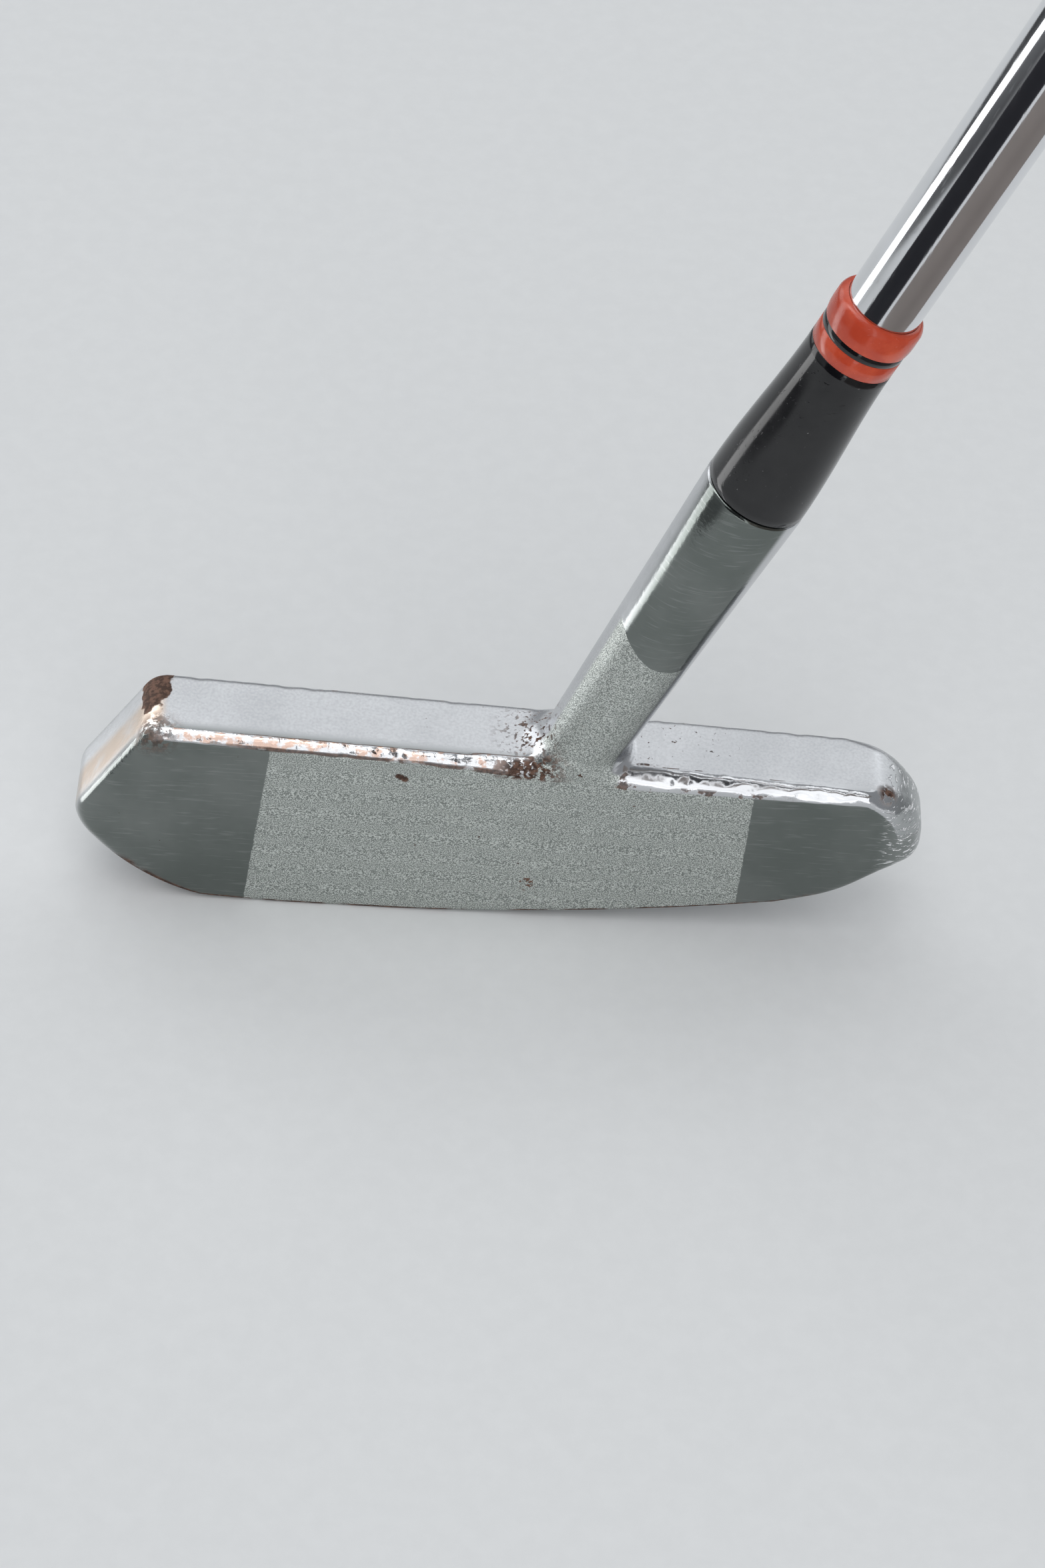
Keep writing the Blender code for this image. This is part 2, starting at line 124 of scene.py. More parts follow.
def sole_height(x):
    """Height of the cambered sole at a distance from the middle of its rest."""
    reach = max(abs(x), SOLE_FLAT)
    return math.sqrt(SOLE_RADIUS ** 2 - SOLE_FLAT ** 2) - math.sqrt(SOLE_RADIUS ** 2 - reach ** 2)


def top_height(x):
    """Height of the blade's sloping top edge."""
    return 0.031 - 0.0498 * (x + 0.0271)


def spun_arc(shape, start, centre, sweep, radius):
    """Swing one vertex round a centre in the plane of the face, and give the arc it leaves."""
    count = len(shape.verts)
    first = shape.verts.new(start)
    steps = max(3, math.ceil(sweep * radius / FILLET_STEP))
    bmesh.ops.spin(shape, geom=[first], cent=centre, axis=(0.0, 1.0, 0.0), angle=sweep, steps=steps)
    shape.verts.ensure_lookup_table()
    return shape.verts[count:]


def blade_outline(shape):
    """The outline of the blade as a closed chain of arcs and straight sides, toe first."""
    sole_centre = Vector((0.0, 0.0, math.sqrt(SOLE_RADIUS ** 2 - SOLE_FLAT ** 2)))
    lead = Vector((TOE_CONTACT, 0.0, sole_height(TOE_CONTACT)))
    trail = Vector((HEEL_CONTACT, 0.0, sole_height(HEEL_CONTACT)))
    points = [Vector((x, 0.0, z)) for x, z, radius in BLADE_CORNERS]
    chain = []
    for before, corner, after, size in zip([lead] + points, points, points[1:] + [trail], BLADE_CORNERS):
        back = (before - corner).normalized()
        ahead = (after - corner).normalized()
        half = back.angle(ahead) / 2
        radius = size[2]
        start = corner + back * (radius / math.tan(half))
        centre = corner + (back + ahead).normalized() * (radius / math.sin(half))
        chain += spun_arc(shape, start, centre, math.pi - 2 * half, radius)
    half_flat = math.asin(SOLE_FLAT / SOLE_RADIUS)
    heel_sweep = math.asin(HEEL_CONTACT / SOLE_RADIUS) - half_flat
    toe_sweep = math.asin(-TOE_CONTACT / SOLE_RADIUS) - half_flat
    flat_end = Vector((-SOLE_FLAT, 0.0, 0.0))
    chain += spun_arc(shape, trail, sole_centre, heel_sweep, SOLE_RADIUS)
    chain += spun_arc(shape, flat_end, sole_centre, toe_sweep, SOLE_RADIUS)
    return chain


def rounded_corner(first, second, radius):
    """Two surfaces met in an outside corner of that radius."""
    return np.minimum(-radius, np.maximum(first, second)) + np.hypot(
        np.maximum(first + radius, 0.0), np.maximum(second + radius, 0.0))


def hollow_corner(first, second, radius):
    """Two bodies joined with an inside corner of that radius."""
    return np.maximum(radius, np.minimum(first, second)) - np.hypot(
        np.maximum(radius - first, 0.0), np.maximum(radius - second, 0.0))


def past_outline(outline, places):
    """Distance of each place outside the blade's outline, negative inside it."""
    ahead = np.roll(outline, -1, axis=0) - outline
    run = np.hypot(ahead[:, 0], ahead[:, 1])
    way = ahead / run[:, None]
    found = []
    for part in np.array_split(places, max(1, len(places) // 6000)):
        across = part[:, None, 0] - outline[:, 0]
        up = part[:, None, 2] - outline[:, 1]
        along = np.clip(across * way[:, 0] + up * way[:, 1], 0.0, run)
        near = np.hypot(across - along * way[:, 0], up - along * way[:, 1]).min(axis=1)
        outside = (up * way[:, 0] - across * way[:, 1]).max(axis=1)
        found.append(np.where(outside > 0.0, near, -near))
    return np.concatenate(found)


def eased(value, low, high):
    """0 below low, 1 above high, with a smooth rise between."""
    share = np.clip((value - low) / (high - low), 0.0, 1.0)
    return share * share * (3.0 - 2.0 * share)


def front_rounding(x, z):
    """How far the front edge is worn round: broad by the neck, broadest down the heel's end."""
    top = np.interp(x, [-0.034, -0.02, 0.01, 0.025, 0.04, 0.06, 0.071, 0.077],
                    [0.0015, 0.0014, 0.0014, 0.0022, 0.0028, 0.0021, 0.0018, 0.0044])
    low = np.interp(x, [-0.038, -0.032, -0.02, 0.06, 0.074], [0.0056, 0.004, 0.0006, 0.0006, 0.004])
    share = eased(z, 0.009, 0.019)
    return low + (top - low) * share


def rear_rounding(x):
    """The rear edge is eased by hand, and rolled over round the heel's end."""
    return np.interp(x, [-0.036, 0.068, 0.077], [0.0013, 0.0013, 0.005])


def neck_place(places):
    """Height up the neck and distance from its axis."""
    offset = places - np.array(NECK_FOOT)
    height = offset @ np.array(shaft_line)
    reach = np.linalg.norm(offset - height[:, None] * np.array(shaft_line), axis=1)
    return height, reach


def neck_radius(height):
    """Radius of the tapered neck at a height."""
    return NECK_FOOT_RADIUS + (NECK_TOP_RADIUS - NECK_FOOT_RADIUS) * height / NECK_TOP


def past_head(outline, places):
    """Distance of each place outside the finished head."""
    x, y, z = places.T
    side = past_outline(outline, places)
    face = (z * math.tan(LOFT) - HALF_SOLE - y) * math.cos(LOFT)
    back = y - HALF_SOLE
    blade = np.maximum(
        rounded_corner(side, face, front_rounding(x, z)), rounded_corner(side, back, rear_rounding(x)))
    height, reach = neck_place(places)
    neck = np.maximum(reach - neck_radius(height), -height - NECK_SUNK)
    root = np.interp(x, [0.022, 0.03, 0.04], [0.0036, 0.0026, 0.002])
    joined = hollow_corner(blade, neck, root)
    swell = np.maximum(z - SWELL_START, 0.0)
    front_limit = face - SWELL_LEAN * swell
    back_limit = back - SWELL_LEAN * swell
    return rounded_corner(rounded_corner(joined, front_limit, 0.0006), back_limit, 0.001)


def edge_dents():
    """Nicks of years of play: (place, width, depth), mostly along the front edge and the heel's end."""
    chance = random.Random(12)
    dents = []
    for count, low, high, depth in ((46, -0.026, 0.021, 0.0002), (40, 0.04, 0.076, 0.00022)):
        for index in range(count):
            x = chance.uniform(low, high)
            drop = chance.uniform(0.0001, 0.0014)
            z = top_height(x) - drop
            y = z * math.tan(LOFT) - HALF_SOLE + chance.uniform(0.0, 0.0012)
            dents.append(((x, y, z), chance.uniform(0.0004, 0.0011), depth * chance.uniform(0.3, 1.0)))
    for index in range(60):
        x = chance.uniform(0.0745, 0.0796)
        z = chance.uniform(0.01, 0.024)
        y = chance.uniform(-0.0062, -0.001)
        dents.append(((x, y, z), chance.uniform(0.0004, 0.001), chance.uniform(0.00004, 0.00014)))
    for index in range(26):
        x = chance.uniform(-0.026, 0.072)
        z = top_height(x)
        dents.append(((x, 0.0064, z), chance.uniform(0.0003, 0.0008), chance.uniform(0.00005, 0.00016)))
    return dents


def placed(name, data):
    """A new object in the scene."""
    item = bpy.data.objects.new(name, data)
    bpy.context.scene.collection.objects.link(item)
    return item


def skinned(mesh, step):
    """The mesh covered again with small even faces, overlapping bodies joined into one."""
    holder = placed("skin", mesh)
    remesh = holder.modifiers.new("even_skin", "REMESH")
    remesh.mode = "VOXEL"
    remesh.voxel_size = step
    bpy.context.view_layer.update()
    even = bpy.data.meshes.new_from_object(holder.evaluated_get(bpy.context.evaluated_depsgraph_get()))
    bpy.data.objects.remove(holder)
    return even


def new_piece(name, shape):
    """A finished piece from a bmesh, smooth and fixed to the club."""
    mesh = bpy.data.meshes.new(name)
    shape.to_mesh(mesh)
    shape.free()
    mesh.shade_smooth()
    piece = placed(name, mesh)
    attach(piece, "root")
    return piece


def forge_head():
    """Blank of blade and neck, skinned evenly and brought to its finished surface."""
    shape = bmesh.new()
    chain = blade_outline(shape)
    outline = np.array([(vert.co.x, vert.co.z) for vert in chain])
    for first, second in zip(chain, chain[1:] + chain[:1]):
        if not any(second in edge.verts for edge in first.link_edges):
            shape.edges.new((first, second))
    blank = bmesh.ops.contextual_create(shape, geom=shape.edges)["faces"]
    bmesh.ops.translate(shape, verts=shape.verts, vec=(0.0, -HALF_SOLE, 0.0))
    grown = bmesh.ops.extrude_face_region(shape, geom=blank)["geom"]
    far_side = [item for item in grown if isinstance(item, bmesh.types.BMVert)]
    bmesh.ops.translate(shape, verts=far_side, vec=(0.0, 2 * HALF_SOLE, 0.0))
    bmesh.ops.recalc_face_normals(shape, faces=shape.faces)
    middle = up_shaft @ Matrix.Translation((0.0, 0.0, (NECK_TOP - NECK_SUNK) / 2))
    bmesh.ops.create_cone(
        shape, cap_ends=True, segments=96, radius1=NECK_FOOT_RADIUS, radius2=NECK_TOP_RADIUS,
        depth=NECK_TOP + NECK_SUNK, matrix=middle)
    rough = bpy.data.meshes.new("head_blank")
    shape.to_mesh(rough)
    shape.free()
    even = skinned(rough, SKIN_STEP)
    places = np.empty(len(even.vertices) * 3)
    even.vertices.foreach_get("co", places)
    places = places.reshape(-1, 3)
    nudge = 0.00002
    least_slope = 0.2
    longest_move = 0.0008
    for round_number in range(SKIN_ROUNDS):
        gap = past_head(outline, places)
        slope = np.stack([
            past_head(outline, places + np.array(step)) - gap
            for step in ((nudge, 0.0, 0.0), (0.0, nudge, 0.0), (0.0, 0.0, nudge))], axis=1) / nudge
        steep = np.maximum((slope ** 2).sum(axis=1), least_slope)
        places = places - slope * np.clip(gap / steep, -longest_move, longest_move)[:, None]
    inward = -slope / np.linalg.norm(slope, axis=1)[:, None]
    for place, width, depth in edge_dents():
        near = ((places - np.array(place)) ** 2).sum(axis=1)
        places = places + inward * (depth * np.exp(-near / width ** 2))[:, None]
    even.vertices.foreach_set("co", places.ravel())
    shape = bmesh.new()
    shape.from_mesh(even)
    finish_neck(shape)
    return shape, outline


def finish_neck(shape):
    """Cut the neck square, draw its upper half straight up from the cut, and turn the rim into the bore."""
    bmesh.ops.bisect_plane(
        shape, geom=shape.verts[:] + shape.edges[:] + shape.faces[:], dist=0.00001,
        plane_co=up_shaft @ Vector((0.0, 0.0, NECK_CUT)), plane_no=shaft_line, clear_outer=True)
    loop = [edge for edge in shape.edges if edge.is_boundary]
    levels = [
        (NECK_TOP - 0.00045, neck_radius(NECK_TOP)),
        (NECK_TOP - 0.00025, neck_radius(NECK_TOP) - 0.00006),
        (NECK_TOP - 0.00008, neck_radius(NECK_TOP) - 0.00022),
        (NECK_TOP, neck_radius(NECK_TOP) - 0.00045),
        (NECK_TOP, NECK_BORE_RADIUS),
        (NECK_BORE_FLOOR, NECK_BORE_RADIUS),
    ]
    for height, radius in levels:
        grown = bmesh.ops.extrude_edge_only(shape, edges=loop)["geom"]
        for vert in (item for item in grown if isinstance(item, bmesh.types.BMVert)):
            offset = vert.co - NECK_FOOT
            outward = (offset - shaft_line * offset.dot(shaft_line)).normalized()
            vert.co = NECK_FOOT + shaft_line * height + outward * radius
        loop = [item for item in grown if isinstance(item, bmesh.types.BMEdge)]
    bmesh.ops.contextual_create(shape, geom=loop)
    bmesh.ops.recalc_face_normals(shape, faces=shape.faces)


def mark_edges(piece, outline):
    """Note on the mesh where the front edge turns, and where the rear edge does, for the wear to follow."""
    places = np.empty(len(piece.data.vertices) * 3)
    piece.data.vertices.foreach_get("co", places)
    places = places.reshape(-1, 3)
    x, y, z = places.T
    side = past_outline(outline, places)
    face = (z * math.tan(LOFT) - HALF_SOLE - y) * math.cos(LOFT)
    radius = front_rounding(x, z)
    toward_top = np.maximum(side + radius, 0.0)
    toward_face = np.maximum(face + radius, 0.0)
    turn = np.arctan2(toward_top, toward_face) / (math.pi / 2)
    on_edge = eased(np.minimum(toward_top, toward_face) / radius, 0.0, 0.12)
    height, reach = neck_place(places)
    clear_of_neck = eased(reach - neck_radius(height), 0.0014, 0.0034) * eased(-z, -0.032, -0.0314)
    rear = eased(np.minimum(side, y - HALF_SOLE), -0.0011, -0.0006)
    marks = {"front_turn": turn * on_edge * clear_of_neck, "rear_turn": rear * clear_of_neck}
    for name, values in marks.items():
        attribute = piece.data.attributes.new(name, "FLOAT", "POINT")
        attribute.data.foreach_set("value", values.astype(np.float32))


def add_node(tree, kind, inputs=None, **settings):
    """Add a node, set its options, and set or feed its inputs."""
    made = tree.nodes.new(kind)
    for name, value in settings.items():
        setattr(made, name, value)
    for socket, value in (inputs or {}).items():
        if isinstance(value, bpy.types.NodeSocket):
            tree.links.new(value, made.inputs[socket])
        else:
            made.inputs[socket].default_value = value
    return made


def reckon(operation, first, second=0.0, third=0.0):
    """One sum on two or three values, in the node tree that their sockets belong to."""
    tree = next(value for value in (first, second) if isinstance(value, bpy.types.NodeSocket)).id_data
    made = add_node(tree, "ShaderNodeMath", {0: first, 1: second, 2: third}, operation=operation)
    return made.outputs[0]


def times(first, *others):
    """Masks or values multiplied together."""
    for other in others:
        first = reckon("MULTIPLY", first, other)
    return first


def highest(first, *others):
    """The highest of several masks."""
    for other in others:
        first = reckon("MAXIMUM", first, other)
    return first


def inverse(mask):
    """1 where the mask is 0, and 0 where it is 1."""
    return reckon("SUBTRACT", 1.0, mask)


def measured(operation, first, second=(0.0, 0.0, 0.0)):
    """A length, a distance or a run along a line, from one or two vectors."""
    made = add_node(first.id_data, "ShaderNodeVectorMath", {0: first, 1: second}, operation=operation)
    return made.outputs["Value"]


def noted(place, name):
    """A value noted on the mesh."""
    return add_node(place.id_data, "ShaderNodeAttribute", attribute_name=name).outputs["Fac"]


def noise(place, scale, detail=2.0, distortion=0.0):
    """Plain noise at a scale."""
    settings = {"Vector": place, "Scale": scale, "Detail": detail, "Distortion": distortion}
    return add_node(place.id_data, "ShaderNodeTexNoise", settings).outputs["Fac"]


def bumped(relief, strength, distance):
    """The surface raised and sunk by a relief."""
    settings = {"Height": relief, "Strength": strength, "Distance": distance}
    return add_node(relief.id_data, "ShaderNodeBump", settings).outputs[0]


def rise(value, low, high):
    """0 below low and 1 above high, smooth between; swapped ends give a fall."""
    made = add_node(
        value.id_data, "ShaderNodeMapRange", {"Value": value, "From Min": low, "From Max": high},
        interpolation_type="SMOOTHSTEP", clamp=True)
    return made.outputs[0]


def tinted(amount, below, above):
    """One colour laid over another."""
    made = add_node(amount.id_data, "ShaderNodeMix", {0: amount, 6: below, 7: above}, data_type="RGBA")
    return made.outputs[2]


def between(amount, low, high):
    """A value part way between two others."""
    made = add_node(amount.id_data, "ShaderNodeMix", {0: amount, 2: low, 3: high}, data_type="FLOAT")
    return made.outputs[0]


def new_group(name, inputs, outputs):
    """An empty node group with named sockets."""
    group = bpy.data.node_groups.new(name, "ShaderNodeTree")
    for label, kind, value in inputs:
        socket = group.interface.new_socket(name=label, in_out="INPUT", socket_type=kind)
        if value is not None:
            socket.default_value = value
    for label, kind in outputs:
        group.interface.new_socket(name=label, in_out="OUTPUT", socket_type=kind)
    return group, group.nodes.new("NodeGroupInput"), group.nodes.new("NodeGroupOutput")


def make_patches():
    """Blotches of noise with a soft or hard edge: smudges, rust, pits and wear."""
    group, given, result = new_group(
        "patches",
        [("Place", "NodeSocketVector", None), ("Scale", "NodeSocketFloat", 100.0),
         ("Low", "NodeSocketFloat", 0.5), ("High", "NodeSocketFloat", 0.6)],
        [("Mask", "NodeSocketFloat")])
    cloud = add_node(
        group, "ShaderNodeTexNoise",
        {"Vector": given.outputs["Place"], "Scale": given.outputs["Scale"], "Detail": 4.0,
         "Roughness": 0.6})
    mask = rise(cloud.outputs["Fac"], given.outputs["Low"], given.outputs["High"])
    group.links.new(mask, result.inputs["Mask"])
    return group


def make_scratches():
    """Fine lines along one way: noise drawn out on the given stretch."""
    group, given, result = new_group(
        "scratches",
        [("Place", "NodeSocketVector", None), ("Stretch", "NodeSocketVector", None),
         ("Low", "NodeSocketFloat", 0.6), ("High", "NodeSocketFloat", 0.7)],
        [("Mask", "NodeSocketFloat")])
    drawn = add_node(
        group, "ShaderNodeVectorMath",
        {0: given.outputs["Place"], 1: given.outputs["Stretch"]}, operation="MULTIPLY")
    mask = rise(noise(drawn.outputs[0], 1.0), given.outputs["Low"], given.outputs["High"])
    group.links.new(mask, result.inputs["Mask"])
    return group


patches_group = make_patches()
scratches_group = make_scratches()


def patches(place, scale, low, high):
    """Blotches at a scale, covering more as the ends go lower."""
    settings = {"Place": place, "Scale": scale, "Low": low, "High": high}
    return add_node(place.id_data, "ShaderNodeGroup", settings, node_tree=patches_group).outputs["Mask"]


def scratches(place, stretch, low, high):
    """Fine lines, close together across the large numbers of the stretch."""
    settings = {"Place": place, "Stretch": stretch, "Low": low, "High": high}
    return add_node(place.id_data, "ShaderNodeGroup", settings, node_tree=scratches_group).outputs["Mask"]


def new_finish(name):
    """A material with its shader and the object's own coordinates."""
    material = bpy.data.materials.new(name)
    material.use_nodes = True
    tree = material.node_tree
    shader = tree.nodes["Principled BSDF"]
    place = add_node(tree, "ShaderNodeTexCoord").outputs["Object"]
    return material, shader, place


def feed(shader, **values):
    """Link finished values to the shader's sockets; underscores stand for spaces."""
    for name, value in values.items():
        shader.id_data.links.new(value, shader.inputs[name.replace("_", " ")])


def spot(place, centre, radius, soft):
    """1 within a radius of a point, fading over the soft distance."""
    return rise(measured("DISTANCE", place, centre), radius + soft, radius)


def plating():
    """Worn chrome over forged steel, sandblasted on the middle of the face."""
    material, shader, place = new_finish("worn_plating")
    x, y, z = add_node(place.id_data, "ShaderNodeSeparateXYZ", {0: place}).outputs
    front_turn = noted(place, "front_turn")
    rear_turn = noted(place, "rear_turn")

    # the sandblasted field: the face between two slanted lines, and the foot of the neck's front
    lean = times(z, math.tan(LOFT))
    behind_face = reckon("SUBTRACT", reckon("ADD", y, HALF_SOLE), lean)
    on_face = rise(behind_face, 0.001, 0.0007)
    ragged = times(noise(place, 900.0), MASK_RAGGED)
    toe_border = reckon("ADD", reckon("MULTIPLY_ADD", z, *TOE_BORDER), ragged)
    heel_border = reckon("ADD", reckon("MULTIPLY_ADD", z, *HEEL_BORDER), ragged)
    past_toe_border = rise(reckon("SUBTRACT", x, toe_border), 0.0, MASK_SOFT)
    before_heel_border = rise(reckon("SUBTRACT", heel_border, x), 0.0, MASK_SOFT)
    offset = add_node(
        place.id_data, "ShaderNodeVectorMath", {0: place, 1: tuple(NECK_FOOT)}, operation="SUBTRACT")
    height = measured("DOT_PRODUCT", offset.outputs[0], tuple(shaft_line))
    across = measured("DOT_PRODUCT", offset.outputs[0], (shaft_line.z, 0.0, -shaft_line.x))
    dip = times(across, across, 60.0)
    mask_top = reckon("ADD", reckon("MULTIPLY_ADD", across, -0.1, NECK_MASK_TOP), dip)
    mask_top = reckon("ADD", mask_top, ragged)
    below_mask_top = rise(reckon("SUBTRACT", mask_top, height), 0.0, MASK_SOFT)
    neck_front = times(
        rise(y, -0.001, -0.0018), rise(height, -0.001, 0.0006),
        rise(across, 0.0042, 0.0036), below_mask_top)
    field = times(
        past_toe_border, before_heel_border, on_face, rise(z, FIELD_TOP, FIELD_TOP - 0.0006))
    turning = times(rise(front_turn, 0.06, 0.14), rise(z, 0.018, 0.02), rise(x, -0.027, -0.025))
    blasted = highest(times(field, inverse(turning)), neck_front)

    # wear: bare nickel and copper along the front edge, brown below it, rust by the neck and corners
    toe_side = rise(x, 0.024, 0.018)
    on_turn = rise(front_turn, 0.1, 0.22)
    low_turn = times(rise(front_turn, 0.02, 0.08), rise(front_turn, 0.36, 0.24))
    high_up = rise(z, 0.02, 0.0225)
    top_line = times(rise(x, -0.0255, -0.0235), rise(x, 0.0745, 0.0705), high_up)
    copper = times(patches(place, 650.0, 0.46, 0.6), toe_side, on_turn, top_line)
    chipped = between(rise(x, 0.03, 0.036), 1.0, patches(place, 520.0, 0.54, 0.6))
    brown_line = times(
        patches(place, 260.0, 0.36, 0.46), low_turn, top_line, chipped,
        rise(x, 0.062, 0.056), rise(x, -0.02, -0.012), 0.85)
    rusty = {
        name: times(spot(place, centre, radius, soft), patches(place, scale, low, high))
        for name, (centre, radius, soft, scale, low, high) in RUST_SPOTS.items()}
    root_line = times(rise(z, 0.0259, 0.0265), rise(behind_face, 0.0024, 0.0012))
    rusty["neck_root"] = times(rusty["neck_root"], root_line)
    rusty["toe_corner_front"] = times(rusty["toe_corner_front"], 0.75)
    off_ridge = reckon("ABSOLUTE", reckon("ADD", x, 0.0266))
    ridge = times(
        rise(off_ridge, 0.0032, 0.0004), rise(y, -0.0034, 0.0042), rise(z, 0.0274, 0.0286))
    mottled = noise(place, 520.0, 4.0)
    toe_corner = rise(reckon("MULTIPLY_ADD", mottled, 0.9, ridge), 0.8, 0.92)
    sole_line = times(
        rise(z, 0.008, 0.006), rise(front_turn, 0.1, 0.3),
        patches(place, 200.0, 0.34, 0.5))
    back_chips = times(rear_turn, patches(place, 650.0, 0.62, 0.66))
    stray = patches(place, 700.0, 0.735, 0.75)
    gouge = highest(*[spot(place, centre, radius, GOUGE_RIM) for centre, radius in GOUGE_SPOTS])
    dots = times(blasted, patches(place, 520.0, 0.715, 0.73))
    rust = highest(*rusty.values(), toe_corner, sole_line, back_chips, stray, gouge, dots)

    # colours, laid one over another
    on_heel_end = rise(x, 0.0725, 0.0765)
    # fine scratches on the heel's end: sunk in the relief, and painted near white along them as painted
    # highlights
    scratches_and_glints = times(scratches(place, (900.0, 700.0, 3000.0), 0.54, 0.66), on_heel_end)
    smoke = patches(place, 60.0, 0.35, 0.7)
    # painted highlight: the neck's heel-side edge is kept out of the painted dark reflection, so a lighter
    # line runs down it
    neck_edge_highlight = times(rise(across, 0.0036, 0.0046), rise(z, 0.0256, 0.0266))
    # the polished face and the front of the neck are painted dark and faintly green, a painted reflection,
    # with light hairline scratches laid over it
    polished_painted_reflection = times(
        rise(behind_face, 0.0034, 0.0006), inverse(highest(neck_edge_highlight, turning)))
    hairline = times(scratches(place, (260.0, 260.0, 3600.0), 0.56, 0.74), 0.16)
    painted_reflection = tinted(hairline, tinted(smoke, PAINTED_REFLECTION_DARK, PAINTED_REFLECTION_PALE), HAIRLINE_GREY)
    on_top = rise(behind_face, 0.002, 0.003)
    mottle = times(patches(place, 2600.0, 0.35, 0.7), on_top, 0.28)
    grit = noise(place, 6400.0)
    matt = tinted(rise(grit, 0.4, 0.62), GRIT_DARK, GRIT_PALE)
    # a tan band along the middle of the toe's slanted end, between its front and rear edges
    on_slant = rise(reckon("MULTIPLY_ADD", x, -1.55, z), 0.069, 0.0708)
    slant_band = times(
        on_slant, rise(y, -0.0042, -0.0018), rise(y, 0.0032, 0.0008),
        patches(place, 160.0, 0.2, 0.6), 0.75)
    brown = tinted(patches(place, 1500.0, 0.4, 0.62), RUST_DARK, RUST_BROWN)
    layers = [
        (polished_painted_reflection, painted_reflection), (mottle, PLATE_MOTTLE), (blasted, matt), (slant_band, SLANT_BAND_TAN),
        (times(on_heel_end, 0.6), HEEL_GREY), (scratches_and_glints, PAINTED_SCRATCH_GLINT), (copper, BARE_COPPER),
        (brown_line, brown), (rust, brown)]
    colour = tinted(smoke, PLATE_CLEAN, PLATE_SMOKED)
    for amount, laid in layers:
        colour = tinted(amount, colour, laid)

    # shine
    gloss = between(patches(place, 140.0, 0.35, 0.75), 0.12, 0.2)
    spoiled = highest(rust, brown_line)
    for amount, roughness in ((on_top, 0.27), (blasted, 0.42), (spoiled, 0.8)):
        gloss = between(amount, gloss, roughness)
    metal = between(spoiled, 1.0, 0.25)

    # relief: grit of the blasting, orange peel of the plating, brushing, scratches, pits
    peel = times(noise(place, 1400.0, 3.0), 0.32)
    brushing = scratches(place, (90.0, 90.0, 5200.0), 0.45, 0.75)
    relief = between(blasted, peel, reckon("MULTIPLY_ADD", brushing, 0.35, grit))
    relief = reckon("MULTIPLY_ADD", scratches_and_glints, -3.0, relief)
    edge_rough = times(on_turn, high_up, noise(place, 900.0, 3.0, 0.8))
    relief = reckon("MULTIPLY_ADD", edge_rough, between(toe_side, 0.35, 1.9), relief)
    relief = reckon("MULTIPLY_ADD", spoiled, -0.5, relief)
    bumps = bumped(relief, 0.85, 0.00006)
    feed(shader, Base_Color=colour, Roughness=gloss, Metallic=metal, Normal=bumps)
    return material


head_shape, blade_line = forge_head()
head = new_piece("blade_and_neck", head_shape)
mark_edges(head, blade_line)
head.data.materials.clear()
head.data.materials.append(plating())
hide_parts("putter_head")


# ---------------------------------------------------------------------------
# Shaft
# A drawn steel tube with a tapered tip and eight steps, chrome plated and epoxied into the neck.

SHAFT_TIP = 0.0159
SHAFT_END = 0.85487
TIP_RADIUS = 0.00465
TIP_SECTION = 0.33
TIP_TAPER = 0.00375
BUTT_RADIUS = 0.00762
SHAFT_WALL = 0.0005
STEPS_UP = 8
STEP_PITCH = 0.03
STEP_RAMP = 0.0012
ROUND_FACES = 96


def turned(profile):
    """Turn a closed chain of (radius, height) points about the shaft's line."""
    shape = bmesh.new()
    verts = [shape.verts.new((radius, 0.0, height)) for radius, height in profile]
    for first, second in zip(verts, verts[1:] + verts[:1]):
        if first.co.x > 0.0 or second.co.x > 0.0:
            shape.edges.new((first, second))
    bmesh.ops.spin(
        shape, geom=shape.verts[:] + shape.edges[:], cent=(0.0, 0.0, 0.0), axis=(0.0, 0.0, 1.0),
        angle=math.tau, steps=ROUND_FACES, use_merge=True)
    bmesh.ops.remove_doubles(shape, verts=shape.verts, dist=0.000002)
    bmesh.ops.recalc_face_normals(shape, faces=shape.faces)
    bmesh.ops.transform(shape, matrix=up_shaft, verts=shape.verts)
    return shape


def keep_corners(piece, angle):
    """Shade a piece smooth but for the corners sharper than an angle."""
    piece.data.set_sharp_from_angle(angle=math.radians(angle))


def shaft_profile():
    """Down the bore and up the outside, step by step."""
    radius = TIP_RADIUS + TIP_TAPER * TIP_SECTION
    height = SHAFT_TIP + TIP_SECTION
    outside = [(TIP_RADIUS, SHAFT_TIP)]
    outside += [(TIP_RADIUS + TIP_TAPER * rung * 0.03, SHAFT_TIP + rung * 0.03) for rung in range(1, 11)]
    outside.append((radius, height))
    step_rise = (BUTT_RADIUS - radius) / STEPS_UP
    for rung in range(STEPS_UP):
        outside.append((radius + step_rise * 0.8, height + STEP_RAMP * 0.7))
        radius += step_rise
        outside.append((radius, height + STEP_RAMP))
        height += STEP_PITCH
        outside.append((radius, height))
    outside[-1] = (BUTT_RADIUS, SHAFT_END)
    return outside + [(radius - SHAFT_WALL, height) for radius, height in outside[::-1]]


